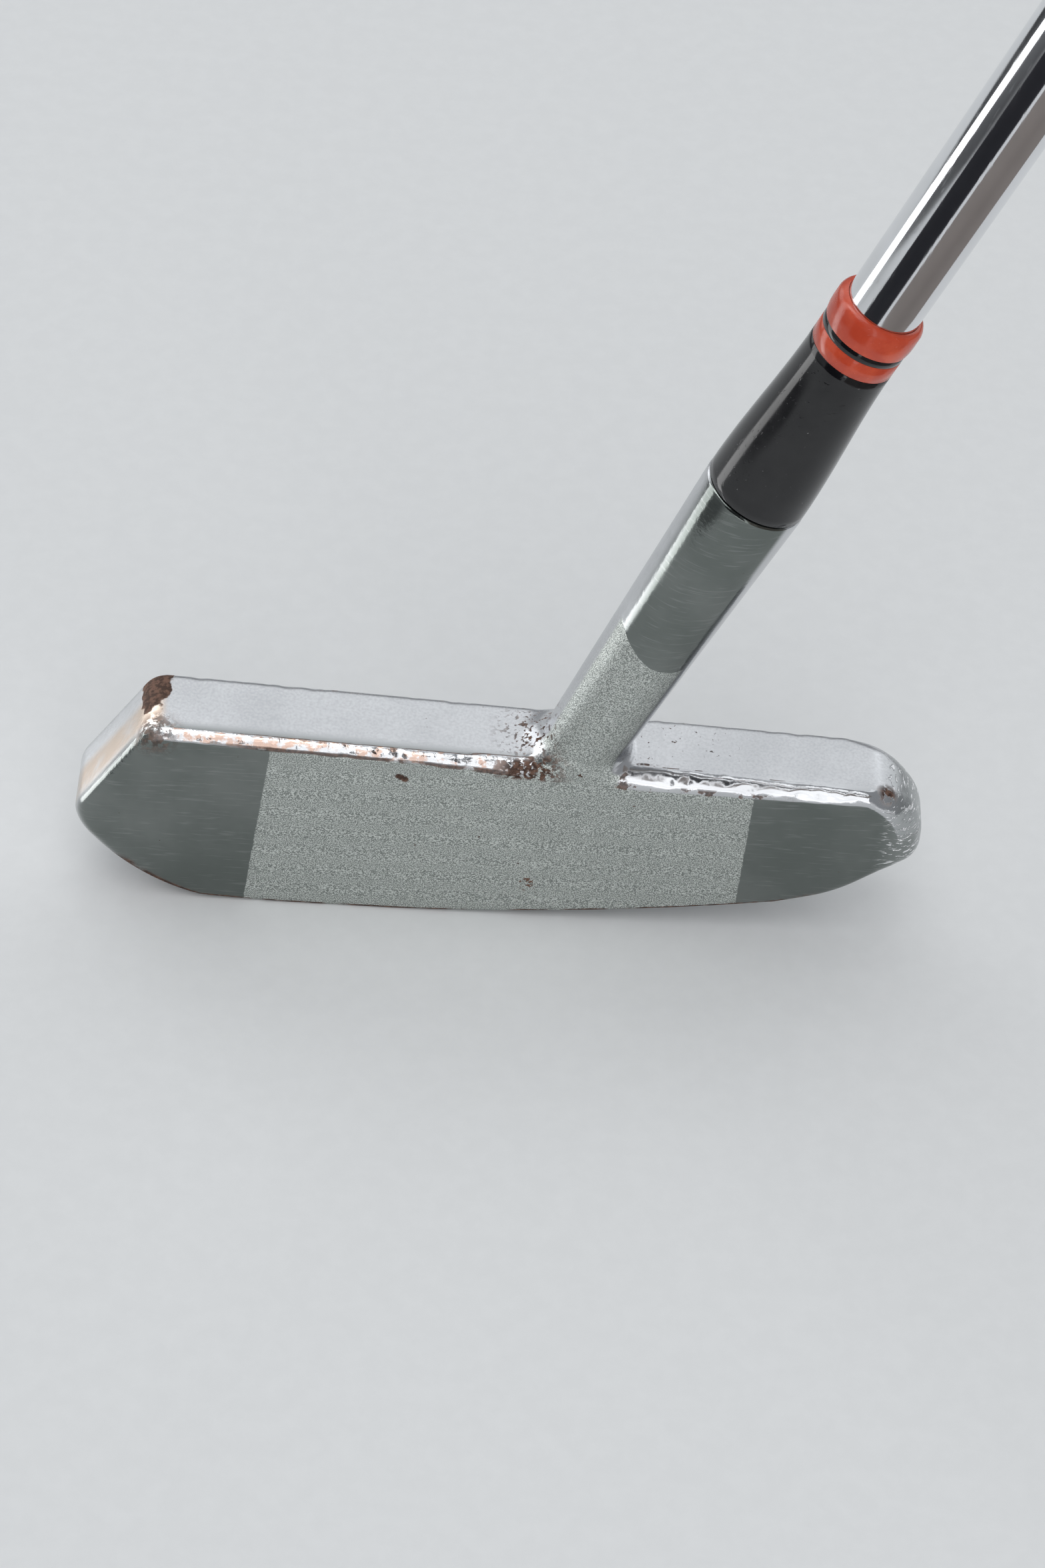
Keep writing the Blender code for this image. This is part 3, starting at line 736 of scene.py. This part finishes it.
def shaft_plating():
    """Bright chrome with faint smears, hairlines along the tube and a few rust freckles."""
    material, shader, place = new_finish("bright_chrome")
    smear = patches(place, 45.0, 0.35, 0.75)
    freckle = patches(place, 800.0, 0.745, 0.765)
    colour = tinted(smear, (0.8, 0.81, 0.83, 1.0), (0.68, 0.69, 0.7, 1.0))
    colour = tinted(freckle, colour, (0.16, 0.08, 0.05, 1.0))
    hair = scratches(place, (900.0, 2600.0, 90.0), 0.55, 0.75)
    gloss = between(smear, 0.08, 0.14)
    gloss = reckon("MULTIPLY_ADD", hair, 0.05, gloss)
    gloss = between(freckle, gloss, 0.7)
    metal = between(freckle, 1.0, 0.3)
    relief = reckon("MULTIPLY_ADD", hair, -0.4, times(freckle, -1.0))
    bumps = bumped(relief, 0.3, 0.00002)
    feed(shader, Base_Color=colour, Roughness=gloss, Metallic=metal, Normal=bumps)
    return material


tube = new_piece("stepped_shaft", turned(shaft_profile()))
keep_corners(tube, 40)
tube.data.materials.append(shaft_plating())
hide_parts("shaft")


# ---------------------------------------------------------------------------
# Tip plug
# A cork pressed into the shaft's tip to keep the epoxy out of the tube.

def cells(place, scale):
    """Distance from the middles of scattered cells."""
    settings = {"Vector": place, "Scale": scale}
    return add_node(place.id_data, "ShaderNodeTexVoronoi", settings).outputs["Distance"]


def cork_finish():
    """Granulated cork: pale grains with dark pores between them."""
    material, shader, place = new_finish("pressed_cork")
    pores = patches(place, 700.0, 0.6, 0.66)
    colour = tinted(cells(place, 900.0), (0.52, 0.33, 0.17, 1.0), (0.36, 0.2, 0.09, 1.0))
    colour = tinted(pores, colour, (0.12, 0.06, 0.03, 1.0))
    gloss = between(pores, 0.85, 0.95)
    bumps = bumped(times(pores, -1.0), 0.6, 0.0002)
    feed(shader, Base_Color=colour, Roughness=gloss, Normal=bumps)
    return material


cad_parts["shaft_tip_plug"].material_slots[0].material = cork_finish()


# ---------------------------------------------------------------------------
# Ferrule
# A moulded celluloid-style sleeve pushed down the shaft onto the neck: black body, orange-red ring,
# thin black ring and a rounded orange-red ring on top, turned and wiped to one gloss.

FERRULE_FOOT = 0.05185
BODY_TOP = 0.07714
RING_TOP = 0.07976
THIN_TOP = 0.08086
CAP_TOP = 0.0851
FERRULE_FOOT_RADIUS = 0.0069
FERRULE_TOP_RADIUS = 0.0057
CAP_SWELL = 0.00025
CAP_ROUND = 0.0013
SEAM = 0.00006
DUST = (0.12, 0.12, 0.12, 1.0)
RED_DUST = (0.3, 0.06, 0.04, 1.0)


def tube_radius(height):
    """Outer radius of the shaft's tip section at a height."""
    return TIP_RADIUS + TIP_TAPER * (height - SHAFT_TIP)


def ferrule_radius(height):
    """The sleeve swells smoothly down to the neck."""
    share = min(1.0, max(0.0, (height - FERRULE_FOOT) / (BODY_TOP - FERRULE_FOOT)))
    ease = share * share * (3.0 - 2.0 * share)
    return FERRULE_FOOT_RADIUS + (FERRULE_TOP_RADIUS - FERRULE_FOOT_RADIUS) * ease


def sleeve(low, high, rungs):
    """One ring of the sleeve, its corners eased by a hair so that the joints read as fine lines."""
    bore = tube_radius(high) + 0.00006
    outside = [(ferrule_radius(low) - SEAM, low)]
    for rung in range(rungs + 1):
        height = low + SEAM + (high - low - 2 * SEAM) * rung / rungs
        outside.append((ferrule_radius(height), height))
    outside.append((ferrule_radius(high) - SEAM, high))
    return turned(outside + [(bore, high), (bore, low)])


def cap_sleeve():
    """The top ring, rounded over to the shaft."""
    bore = tube_radius(CAP_TOP) + 0.00004
    rim = FERRULE_TOP_RADIUS + CAP_SWELL
    outside = [(FERRULE_TOP_RADIUS - SEAM, THIN_TOP), (FERRULE_TOP_RADIUS + 0.00008, THIN_TOP + SEAM)]
    outside.append((rim - 0.00004, THIN_TOP + 0.0008))
    outside.append((rim, THIN_TOP + 0.0016))
    across = min(CAP_ROUND, rim - bore)
    for turn in range(1, 9):
        angle = math.pi / 2 * turn / 8
        radius = rim - across + across * math.cos(angle)
        outside.append((radius, CAP_TOP - CAP_ROUND + CAP_ROUND * math.sin(angle)))
    return turned(outside + [(bore, THIN_TOP)])


def moulded_gloss(name, deep, light, speck, gloss_low, gloss_high):
    """Polished plastic with cloudy depth, dust specks and fine scuffs."""
    material, shader, place = new_finish(name)
    cloud = patches(place, 260.0, 0.35, 0.7)
    dust = patches(place, 1600.0, 0.7, 0.74)
    colour = tinted(cloud, deep, light)
    colour = tinted(dust, colour, speck)
    scuff = scratches(place, (700.0, 2400.0, 1500.0), 0.62, 0.72)
    gloss = between(patches(place, 180.0, 0.4, 0.7), gloss_low, gloss_high)
    gloss = reckon("MULTIPLY_ADD", dust, 0.35, reckon("MULTIPLY_ADD", scuff, 0.1, gloss))
    relief = reckon("MULTIPLY_ADD", scuff, -0.5, times(dust, 0.6))
    bumps = bumped(relief, 0.35, 0.00003)
    feed(shader, Base_Color=colour, Roughness=gloss, Normal=bumps)
    shader.inputs["Specular IOR Level"].default_value = 0.55
    return material


black_gloss = moulded_gloss(
    "ferrule_black", (0.004, 0.004, 0.005, 1.0), (0.009, 0.009, 0.01, 1.0), DUST, 0.1, 0.17)
red_gloss = moulded_gloss(
    "ferrule_orange_red", (0.45, 0.05, 0.02, 1.0), (0.58, 0.085, 0.036, 1.0), RED_DUST, 0.16, 0.28)
ferrule_stack = [
    ("ferrule_sleeve", "ferrule_body", sleeve(FERRULE_FOOT, BODY_TOP, 24), black_gloss, "ferrule_black"),
    ("ferrule_red_ring", "ferrule_lower_ring", sleeve(BODY_TOP, RING_TOP, 2), red_gloss, "ferrule_red"),
    ("ferrule_black_ring", "ferrule_thin_ring", sleeve(RING_TOP, THIN_TOP, 2), black_gloss,
     "ferrule_black"),
    ("ferrule_red_cap", "ferrule_cap_ring", cap_sleeve(), red_gloss, "ferrule_red"),
]
for ring_name, ring_node, ring_shape, ring_finish, ring_slot in ferrule_stack:
    ring = new_piece(ring_name, ring_shape)
    keep_corners(ring, 50)
    ring.data.materials.append(ring_finish)
    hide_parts(ring_node)


# ---------------------------------------------------------------------------
# Grip
# A rubber underlisting pushed over the shaft's butt, perforated leather strip wound up it edge to edge
# and glued, a plastic collar that covers the wrap's start, and a plastic cap plugged into the end.

GRIP_LOW = 0.58787
GRIP_HIGH = 0.85487
LISTING_LOW = 0.0089
LISTING_HIGH = 0.0108
LISTING_GAP = 0.0003
LEATHER = 0.0013
FLAT_SHARE = 0.86
FLAT_BLEND = 0.0012
WRAP_PITCH = 0.0215
WRAP_SEAM = 0.0003
WRAP_STEPS = 72
HOLE_PITCH = 0.0036
COLLAR_LOW = 0.57557
COLLAR_BORE = 0.00776
CAP_LOW = 0.85517
CAP_HIGH = 0.85867
CAP_RIM = 0.013
CAP_EDGE = 0.0012
CAP_STEM = 0.006
CAP_STEM_LENGTH = 0.014
HOLE_RADIUS = 0.00022
HOLE_RIM = 0.00012
CALF = (0.04, 0.024, 0.016, 1.0)
CALF_WARM = (0.066, 0.038, 0.024, 1.0)
CALF_CREASE = (0.03, 0.018, 0.013, 1.0)
CALF_RUBBED = (0.16, 0.095, 0.06, 1.0)
HOLE_SHADE_DARK = (0.006, 0.004, 0.003, 1.0)


def listing_radius(height):
    """Radius of the tapered underlisting at a height."""
    return LISTING_LOW + (LISTING_HIGH - LISTING_LOW) * (height - GRIP_LOW) / (GRIP_HIGH - GRIP_LOW)


def over_listing(vert):
    """Move a point of the wrap from its straight winding onto the taper and its thumb flat."""
    lift = math.hypot(vert.co.x, vert.co.y) - LISTING_HIGH
    swing = math.atan2(vert.co.y, vert.co.x)
    inner = listing_radius(vert.co.z)
    round_side = inner + LISTING_GAP + lift
    facing = max(-math.cos(swing), 0.2)
    flat_side = (FLAT_SHARE * inner + LISTING_GAP + lift) / facing
    blend = max(FLAT_BLEND - abs(round_side - flat_side), 0.0) / FLAT_BLEND
    reach = min(round_side, flat_side) - blend * blend * FLAT_BLEND / 4
    vert.co.x = reach * math.cos(swing)
    vert.co.y = reach * math.sin(swing)


def wound_leather():
    """Spin the strip's section up the grip as a helix, cut both ends square, and lay it on the listing."""
    shape = bmesh.new()
    across = shape.verts.layers.float.new("across")
    along = shape.verts.layers.float.new("along")
    turns = math.ceil((GRIP_HIGH - GRIP_LOW) / WRAP_PITCH) + 2
    width = WRAP_PITCH - WRAP_SEAM
    bottom = GRIP_LOW - 1.5 * WRAP_PITCH
    section = [
        (0.0, 0.0), (0.0, 0.55), (0.0003, 0.8), (0.0008, 0.95), (0.0016, 1.0), (width / 2, 1.0),
        (width - 0.0016, 1.0), (width - 0.0008, 0.95), (width - 0.0003, 0.8), (width, 0.55), (width, 0.0)]
    verts = []
    for edge_distance, share in section:
        vert = shape.verts.new((LISTING_HIGH + LEATHER * share, 0.0, bottom + edge_distance))
        vert[across] = edge_distance
        verts.append(vert)
    for first, second in zip(verts, verts[1:] + verts[:1]):
        shape.edges.new((first, second))
    bmesh.ops.spin(
        shape, geom=shape.verts[:] + shape.edges[:], cent=(0.0, 0.0, 0.0), axis=(0.0, 0.0, 1.0),
        dvec=(0.0, 0.0, WRAP_PITCH / WRAP_STEPS), angle=math.tau * turns, steps=WRAP_STEPS * turns)
    for vert in shape.verts:
        vert[along] = (vert.co.z - bottom - vert[across]) / WRAP_PITCH * math.tau * LISTING_HIGH
    for height, way in ((GRIP_LOW, -1.0), (GRIP_HIGH, 1.0)):
        cut = bmesh.ops.bisect_plane(
            shape, geom=shape.verts[:] + shape.edges[:] + shape.faces[:], dist=0.000001,
            plane_co=(0.0, 0.0, height), plane_no=(0.0, 0.0, way), clear_outer=True)
        rim = [item for item in cut["geom_cut"] if isinstance(item, bmesh.types.BMEdge)]
        bmesh.ops.edgeloop_fill(shape, edges=rim)
    for vert in shape.verts:
        over_listing(vert)
    bmesh.ops.recalc_face_normals(shape, faces=shape.faces)
    bmesh.ops.transform(shape, matrix=up_shaft, verts=shape.verts)
    return shape


def wrap_leather():
    """Dark brown calf with pores and creases, pricked with small holes, its edges rubbed lighter."""
    material, shader, place = new_finish("wound_calf")
    across = noted(place, "across")
    column, row = [
        reckon("SUBTRACT", reckon("PINGPONG", way, HOLE_PITCH / 2), HOLE_PITCH / 4)
        for way in (noted(place, "along"), across)]
    off_centre = add_node(place.id_data, "ShaderNodeCombineXYZ", {
        0: reckon("SUBTRACT", reckon("ABSOLUTE", column), HOLE_PITCH / 4),
        1: reckon("SUBTRACT", reckon("ABSOLUTE", row), HOLE_PITCH / 4)})
    far = measured("LENGTH", off_centre.outputs[0])
    off_middle = reckon("ABSOLUTE", reckon("SUBTRACT", across, WRAP_PITCH / 2))
    middle = rise(off_middle, 0.0084, 0.008)
    hole = times(rise(far, HOLE_RADIUS + HOLE_RIM, HOLE_RADIUS), middle)
    rubbed = times(rise(middle, 1.0, 0.0), patches(place, 300.0, 0.4, 0.62))
    tan = patches(place, 55.0, 0.35, 0.7)
    pore = cells(place, 1400.0)
    crease = noise(place, 260.0, 6.0, 0.6)
    colour = tinted(tan, CALF, CALF_WARM)
    colour = tinted(rise(crease, 0.35, 0.65), colour, CALF_CREASE)
    colour = tinted(times(rubbed, 0.6), colour, CALF_RUBBED)
    # the holes are painted near black: the dark listing seen through them, and painted shade inside them
    colour = tinted(hole, colour, HOLE_SHADE_DARK)
    gloss = between(tan, 0.46, 0.6)
    gloss = between(hole, gloss, 0.9)
    relief = reckon("MULTIPLY_ADD", pore, 0.35, times(crease, 0.8))
    relief = reckon("MULTIPLY_ADD", hole, -2.2, relief)
    bumps = bumped(relief, 0.7, 0.0002)
    feed(shader, Base_Color=colour, Roughness=gloss, Normal=bumps)
    return material


def moulded_matt(name, deep, light, grain_size):
    """Plain moulded plastic or rubber with a fine eroded grain."""
    material, shader, place = new_finish(name)
    cloud = patches(place, 90.0, 0.35, 0.7)
    grain = noise(place, grain_size, 3.0)
    scuff = scratches(place, (500.0, 1900.0, 700.0), 0.62, 0.74)
    colour = tinted(highest(times(scuff, 0.5), cloud), deep, light)
    gloss = between(cloud, 0.42, 0.56)
    bumps = bumped(reckon("MULTIPLY_ADD", scuff, -0.6, grain), 0.4, 0.00008)
    feed(shader, Base_Color=colour, Roughness=gloss, Normal=bumps)
    return material


def collar_shape():
    """Tapered ring with a rolled lip at each end and two shallow grooves."""
    rim = LISTING_LOW + LISTING_GAP + LEATHER
    top = GRIP_LOW - 0.0001
    outside = [(COLLAR_BORE + 0.0004, COLLAR_LOW), (COLLAR_BORE + 0.0009, COLLAR_LOW + 0.0004)]
    outside.append((COLLAR_BORE + 0.0012, COLLAR_LOW + 0.002))
    for groove in (0.005, 0.0068):
        base = COLLAR_BORE + 0.0012 + (rim - COLLAR_BORE - 0.0012) * groove / 0.0095
        outside += [(base, COLLAR_LOW + groove - 0.0003), (base - 0.0002, COLLAR_LOW + groove)]
        outside.append((base + 0.00005, COLLAR_LOW + groove + 0.0003))
    outside += [(rim, COLLAR_LOW + 0.0095), (rim + 0.0001, top - 0.0012), (rim + 0.0001, top - 0.0004)]
    outside += [(rim - 0.0002, top), (COLLAR_BORE, top)]
    return turned(outside + [(COLLAR_BORE, COLLAR_LOW)])


def cap_shape():
    """A domed button with a sunk ring on its end, on the stem that plugs the tube."""
    outside = [(0.0, CAP_HIGH - 0.0003), (0.003, CAP_HIGH - 0.0003), (0.0034, CAP_HIGH - 0.0006)]
    outside += [(0.004, CAP_HIGH - 0.0006), (0.0044, CAP_HIGH - 0.0002), (0.008, CAP_HIGH)]
    for turn in range(9):
        angle = math.pi / 2 * turn / 8
        radius = CAP_RIM - CAP_EDGE + CAP_EDGE * math.sin(angle)
        outside.append((radius, CAP_HIGH - CAP_EDGE + CAP_EDGE * math.cos(angle)))
    outside += [(CAP_RIM, CAP_LOW + 0.0003), (CAP_RIM - 0.0003, CAP_LOW), (CAP_STEM, CAP_LOW)]
    outside += [(CAP_STEM, CAP_LOW - CAP_STEM_LENGTH), (0.0, CAP_LOW - CAP_STEM_LENGTH)]
    return turned(outside)


wrap = new_piece("leather_wrap", wound_leather())
keep_corners(wrap, 50)
wrap.data.materials.append(wrap_leather())
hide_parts("grip_leather")

black_plastic = moulded_matt(
    "grip_plastic", (0.014, 0.014, 0.015, 1.0), (0.026, 0.026, 0.028, 1.0), 1500.0)
collar = new_piece("wrap_collar", collar_shape())
keep_corners(collar, 35)
collar.data.materials.append(black_plastic)
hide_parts("grip_collar")
end_cap = new_piece("end_cap", cap_shape())
keep_corners(end_cap, 35)
end_cap.data.materials.append(black_plastic)
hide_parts("grip_end_cap")

listing_rubber = moulded_matt("listing_rubber", (0.02, 0.02, 0.02, 1.0), (0.04, 0.04, 0.04, 1.0), 900.0)
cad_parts["grip_underlisting"].material_slots[0].material = listing_rubber


# ---------------------------------------------------------------------------
# Floor, light and camera
# A pale seamless sweep of matt board under four soft boxes, with a window behind each end of the
# blade. A long strip light and two cards stand by the lower shaft and show only in shiny things.

TABLE_RADIUS = 0.6
ROOM_RADIUS = 9.0
LIFT_FULL = 2.8
FAR_LIFT = 0.38
BLADE = (0.02, 0.0, 0.02)
REST = (0.0, 0.0, 0.02)

board, shader, place = new_finish("pale_board")
fibre = patches(place, 300.0, 0.3, 0.75)
feed(shader, Base_Color=tinted(fibre, (0.7, 0.71, 0.71, 1.0), (0.72, 0.73, 0.73, 1.0)))
shader.inputs["Roughness"].default_value = 0.9
shader.inputs["Emission Color"].default_value = (0.98, 0.99, 1.0, 1.0)
lift = times(rise(measured("LENGTH", place), TABLE_RADIUS, LIFT_FULL), FAR_LIFT)
feed(shader, Emission_Strength=lift)


def floor_piece(name, shape):
    """A flat piece of the floor, which isn't part of the club."""
    mesh = bpy.data.meshes.new(name)
    bmesh.ops.recalc_face_normals(shape, faces=shape.faces)
    shape.to_mesh(mesh)
    shape.free()
    mesh.materials.append(board)
    piece = placed(name, mesh)
    return piece


table = bmesh.new()
bmesh.ops.create_circle(table, cap_ends=True, segments=96, radius=TABLE_RADIUS)
floor_piece("floor_near", table)
room = bmesh.new()
bmesh.ops.create_circle(room, segments=96, radius=TABLE_RADIUS)
rim = bmesh.ops.extrude_edge_only(room, edges=room.edges[:])["geom"]
outer = [item for item in rim if isinstance(item, bmesh.types.BMVert)]
bmesh.ops.scale(room, verts=outer, vec=(ROOM_RADIUS / TABLE_RADIUS, ROOM_RADIUS / TABLE_RADIUS, 1.0))
floor_piece("floor_far", room).visible_glossy = False


def softbox(name, place, aim, width, height, power, tint):
    """A rectangular diffused light of a width, height, power in watts and tint, pointed at a place."""
    lamp = bpy.data.lights.new(name, "AREA")
    lamp.shape = "RECTANGLE"
    lamp.size = width
    lamp.size_y = height
    lamp.energy = power
    lamp.color = tint
    item = placed(name, lamp)
    item.location = place
    item.rotation_euler = (Vector(aim) - Vector(place)).to_track_quat("-Z", "Y").to_euler()


softbox("back_light", (0.05, 1.5, 1.5), BLADE, 2.4, 1.2, 6.6, (0.97, 0.985, 1.0))
softbox("overhead", (-0.1, -0.05, 1.6), BLADE, 1.4, 1.2, 8.0, (0.98, 0.99, 1.0))
softbox("front_box", (0.3, -1.35, 1.55), BLADE, 1.6, 1.5, 9.5, (0.99, 0.99, 1.0))
softbox("low_front", (0.1, -1.7, 0.5), BLADE, 2.0, 0.8, 6.0, (0.99, 0.99, 1.0))
softbox("toe_window", (-1.05, 1.2, 0.72), REST, 1.0, 1.0, 4.0, (0.96, 0.98, 1.0))
softbox("heel_window", (1.1, 1.2, 0.62), REST, 0.9, 0.9, 2.0, (0.96, 0.98, 1.0))


def beside_shaft(height, way, distance):
    """A place off the shaft at a height up it, turned to look back at the shaft along its length."""
    centre = up_shaft @ Vector((0.0, 0.0, height))
    outward = (way - shaft_line * way.dot(shaft_line)).normalized()
    turn = Matrix((shaft_line.cross(outward), shaft_line, outward)).transposed().to_4x4()
    return Matrix.Translation(centre + way.normalized() * distance) @ turn


# the strip light and the cards: which way each stands off the shaft, how far, and how high up
CARD_LENGTH = 0.34
CARD_HEIGHT = 0.242
CARD_GAP = 0.045
STRIP_WAY = Vector((-0.932, 0.148, -0.329))
STRIP_HEIGHT = 0.17
STRIP_GAP = 0.12
strip = bpy.data.lights.new("shaft_strip", "AREA")
strip.shape = "RECTANGLE"
strip.size = 0.032
strip.size_y = CARD_LENGTH
strip.energy = 0.085
strip_item = placed("shaft_strip", strip)
strip_item.matrix_world = beside_shaft(STRIP_HEIGHT, STRIP_WAY, STRIP_GAP)
cards = [
    ("black_card", Vector((-0.588, -0.788, -0.175)), 0.036, (0.02, 0.02, 0.026, 1.0)),
    ("brown_card", Vector((0.402, -0.711, -0.575)), 0.07, (0.3, 0.262, 0.24, 1.0)),
]
held_up = [strip_item]
for card_name, way, width, colour in cards:
    card_shape = bmesh.new()
    bmesh.ops.create_grid(card_shape, x_segments=1, y_segments=1, size=0.5)
    bmesh.ops.scale(card_shape, verts=card_shape.verts, vec=(width, CARD_LENGTH, 1.0))
    bmesh.ops.transform(
        card_shape, matrix=beside_shaft(CARD_HEIGHT, way, CARD_GAP), verts=card_shape.verts)
    card_mesh = bpy.data.meshes.new(card_name)
    card_shape.to_mesh(card_mesh)
    card_shape.free()
    felt = bpy.data.materials.new(card_name)
    felt.use_nodes = True
    felt_shader = felt.node_tree.nodes["Principled BSDF"]
    felt_shader.inputs["Base Color"].default_value = colour
    felt_shader.inputs["Roughness"].default_value = 1.0
    card_mesh.materials.append(felt)
    card = placed(card_name, card_mesh)
    held_up.append(card)
for item in held_up:
    item.visible_camera = False
    item.visible_diffuse = False
    item.visible_shadow = False

# the room's own light: darker below, brighter low in front
SKY_LOW = (0.02, 0.02, 0.022, 1.0)
SKY_HIGH = (0.32, 0.33, 0.345, 1.0)
SKY_FRONT = (0.7, 0.71, 0.73, 1.0)
SKY_SEEN = (0.62, 0.64, 0.65, 1.0)
world = bpy.data.worlds.new("studio")
world.use_nodes = True
sky = world.node_tree
backdrop = sky.nodes["Background"]
direction = add_node(sky, "ShaderNodeTexCoord").outputs["Generated"]
backward, upward = add_node(sky, "ShaderNodeSeparateXYZ", {0: direction}).outputs[1:]
dim = tinted(rise(upward, -0.25, 0.1), SKY_LOW, SKY_HIGH)
in_front = times(rise(backward, -0.35, -0.75), rise(upward, 0.3, 0.1))
dim = tinted(in_front, dim, SKY_FRONT)
seen = add_node(sky, "ShaderNodeLightPath").outputs["Is Camera Ray"]
sky.links.new(tinted(seen, dim, SKY_SEEN), backdrop.inputs["Color"])
backdrop.inputs["Strength"].default_value = 1.0
bpy.context.scene.world = world
bpy.context.scene.view_settings.view_transform = "Standard"

AIM = Vector((0.02, 0.0, 0.015))
DISTANCE = 0.55
AZIMUTH = math.radians(2.11)
ELEVATION = math.radians(45.75)
ROLL = math.radians(4.75)
SLIDE = (-0.00424, -0.00303)
LENS = 91.13

level = Vector((math.sin(AZIMUTH), math.cos(AZIMUTH), 0.0))
ahead = level * math.cos(ELEVATION) - Vector((0.0, 0.0, math.sin(ELEVATION)))
right = Vector((math.cos(AZIMUTH), -math.sin(AZIMUTH), 0.0))
turned_right = Matrix.Rotation(-ROLL, 3, ahead) @ right
turned_up = turned_right.cross(ahead)
lens = bpy.data.cameras.new("camera")
lens.sensor_fit = "VERTICAL"
lens.sensor_height = 36.0
lens.lens = LENS
lens.clip_start = 0.01
camera = placed("camera", lens)
stand = AIM - ahead * DISTANCE - turned_right * SLIDE[0] - turned_up * SLIDE[1]
pose = Matrix((turned_right, turned_up, -ahead)).transposed().to_4x4()
pose.translation = stand
camera.matrix_world = pose
bpy.context.scene.camera = camera

bpy.context.view_layer.update()
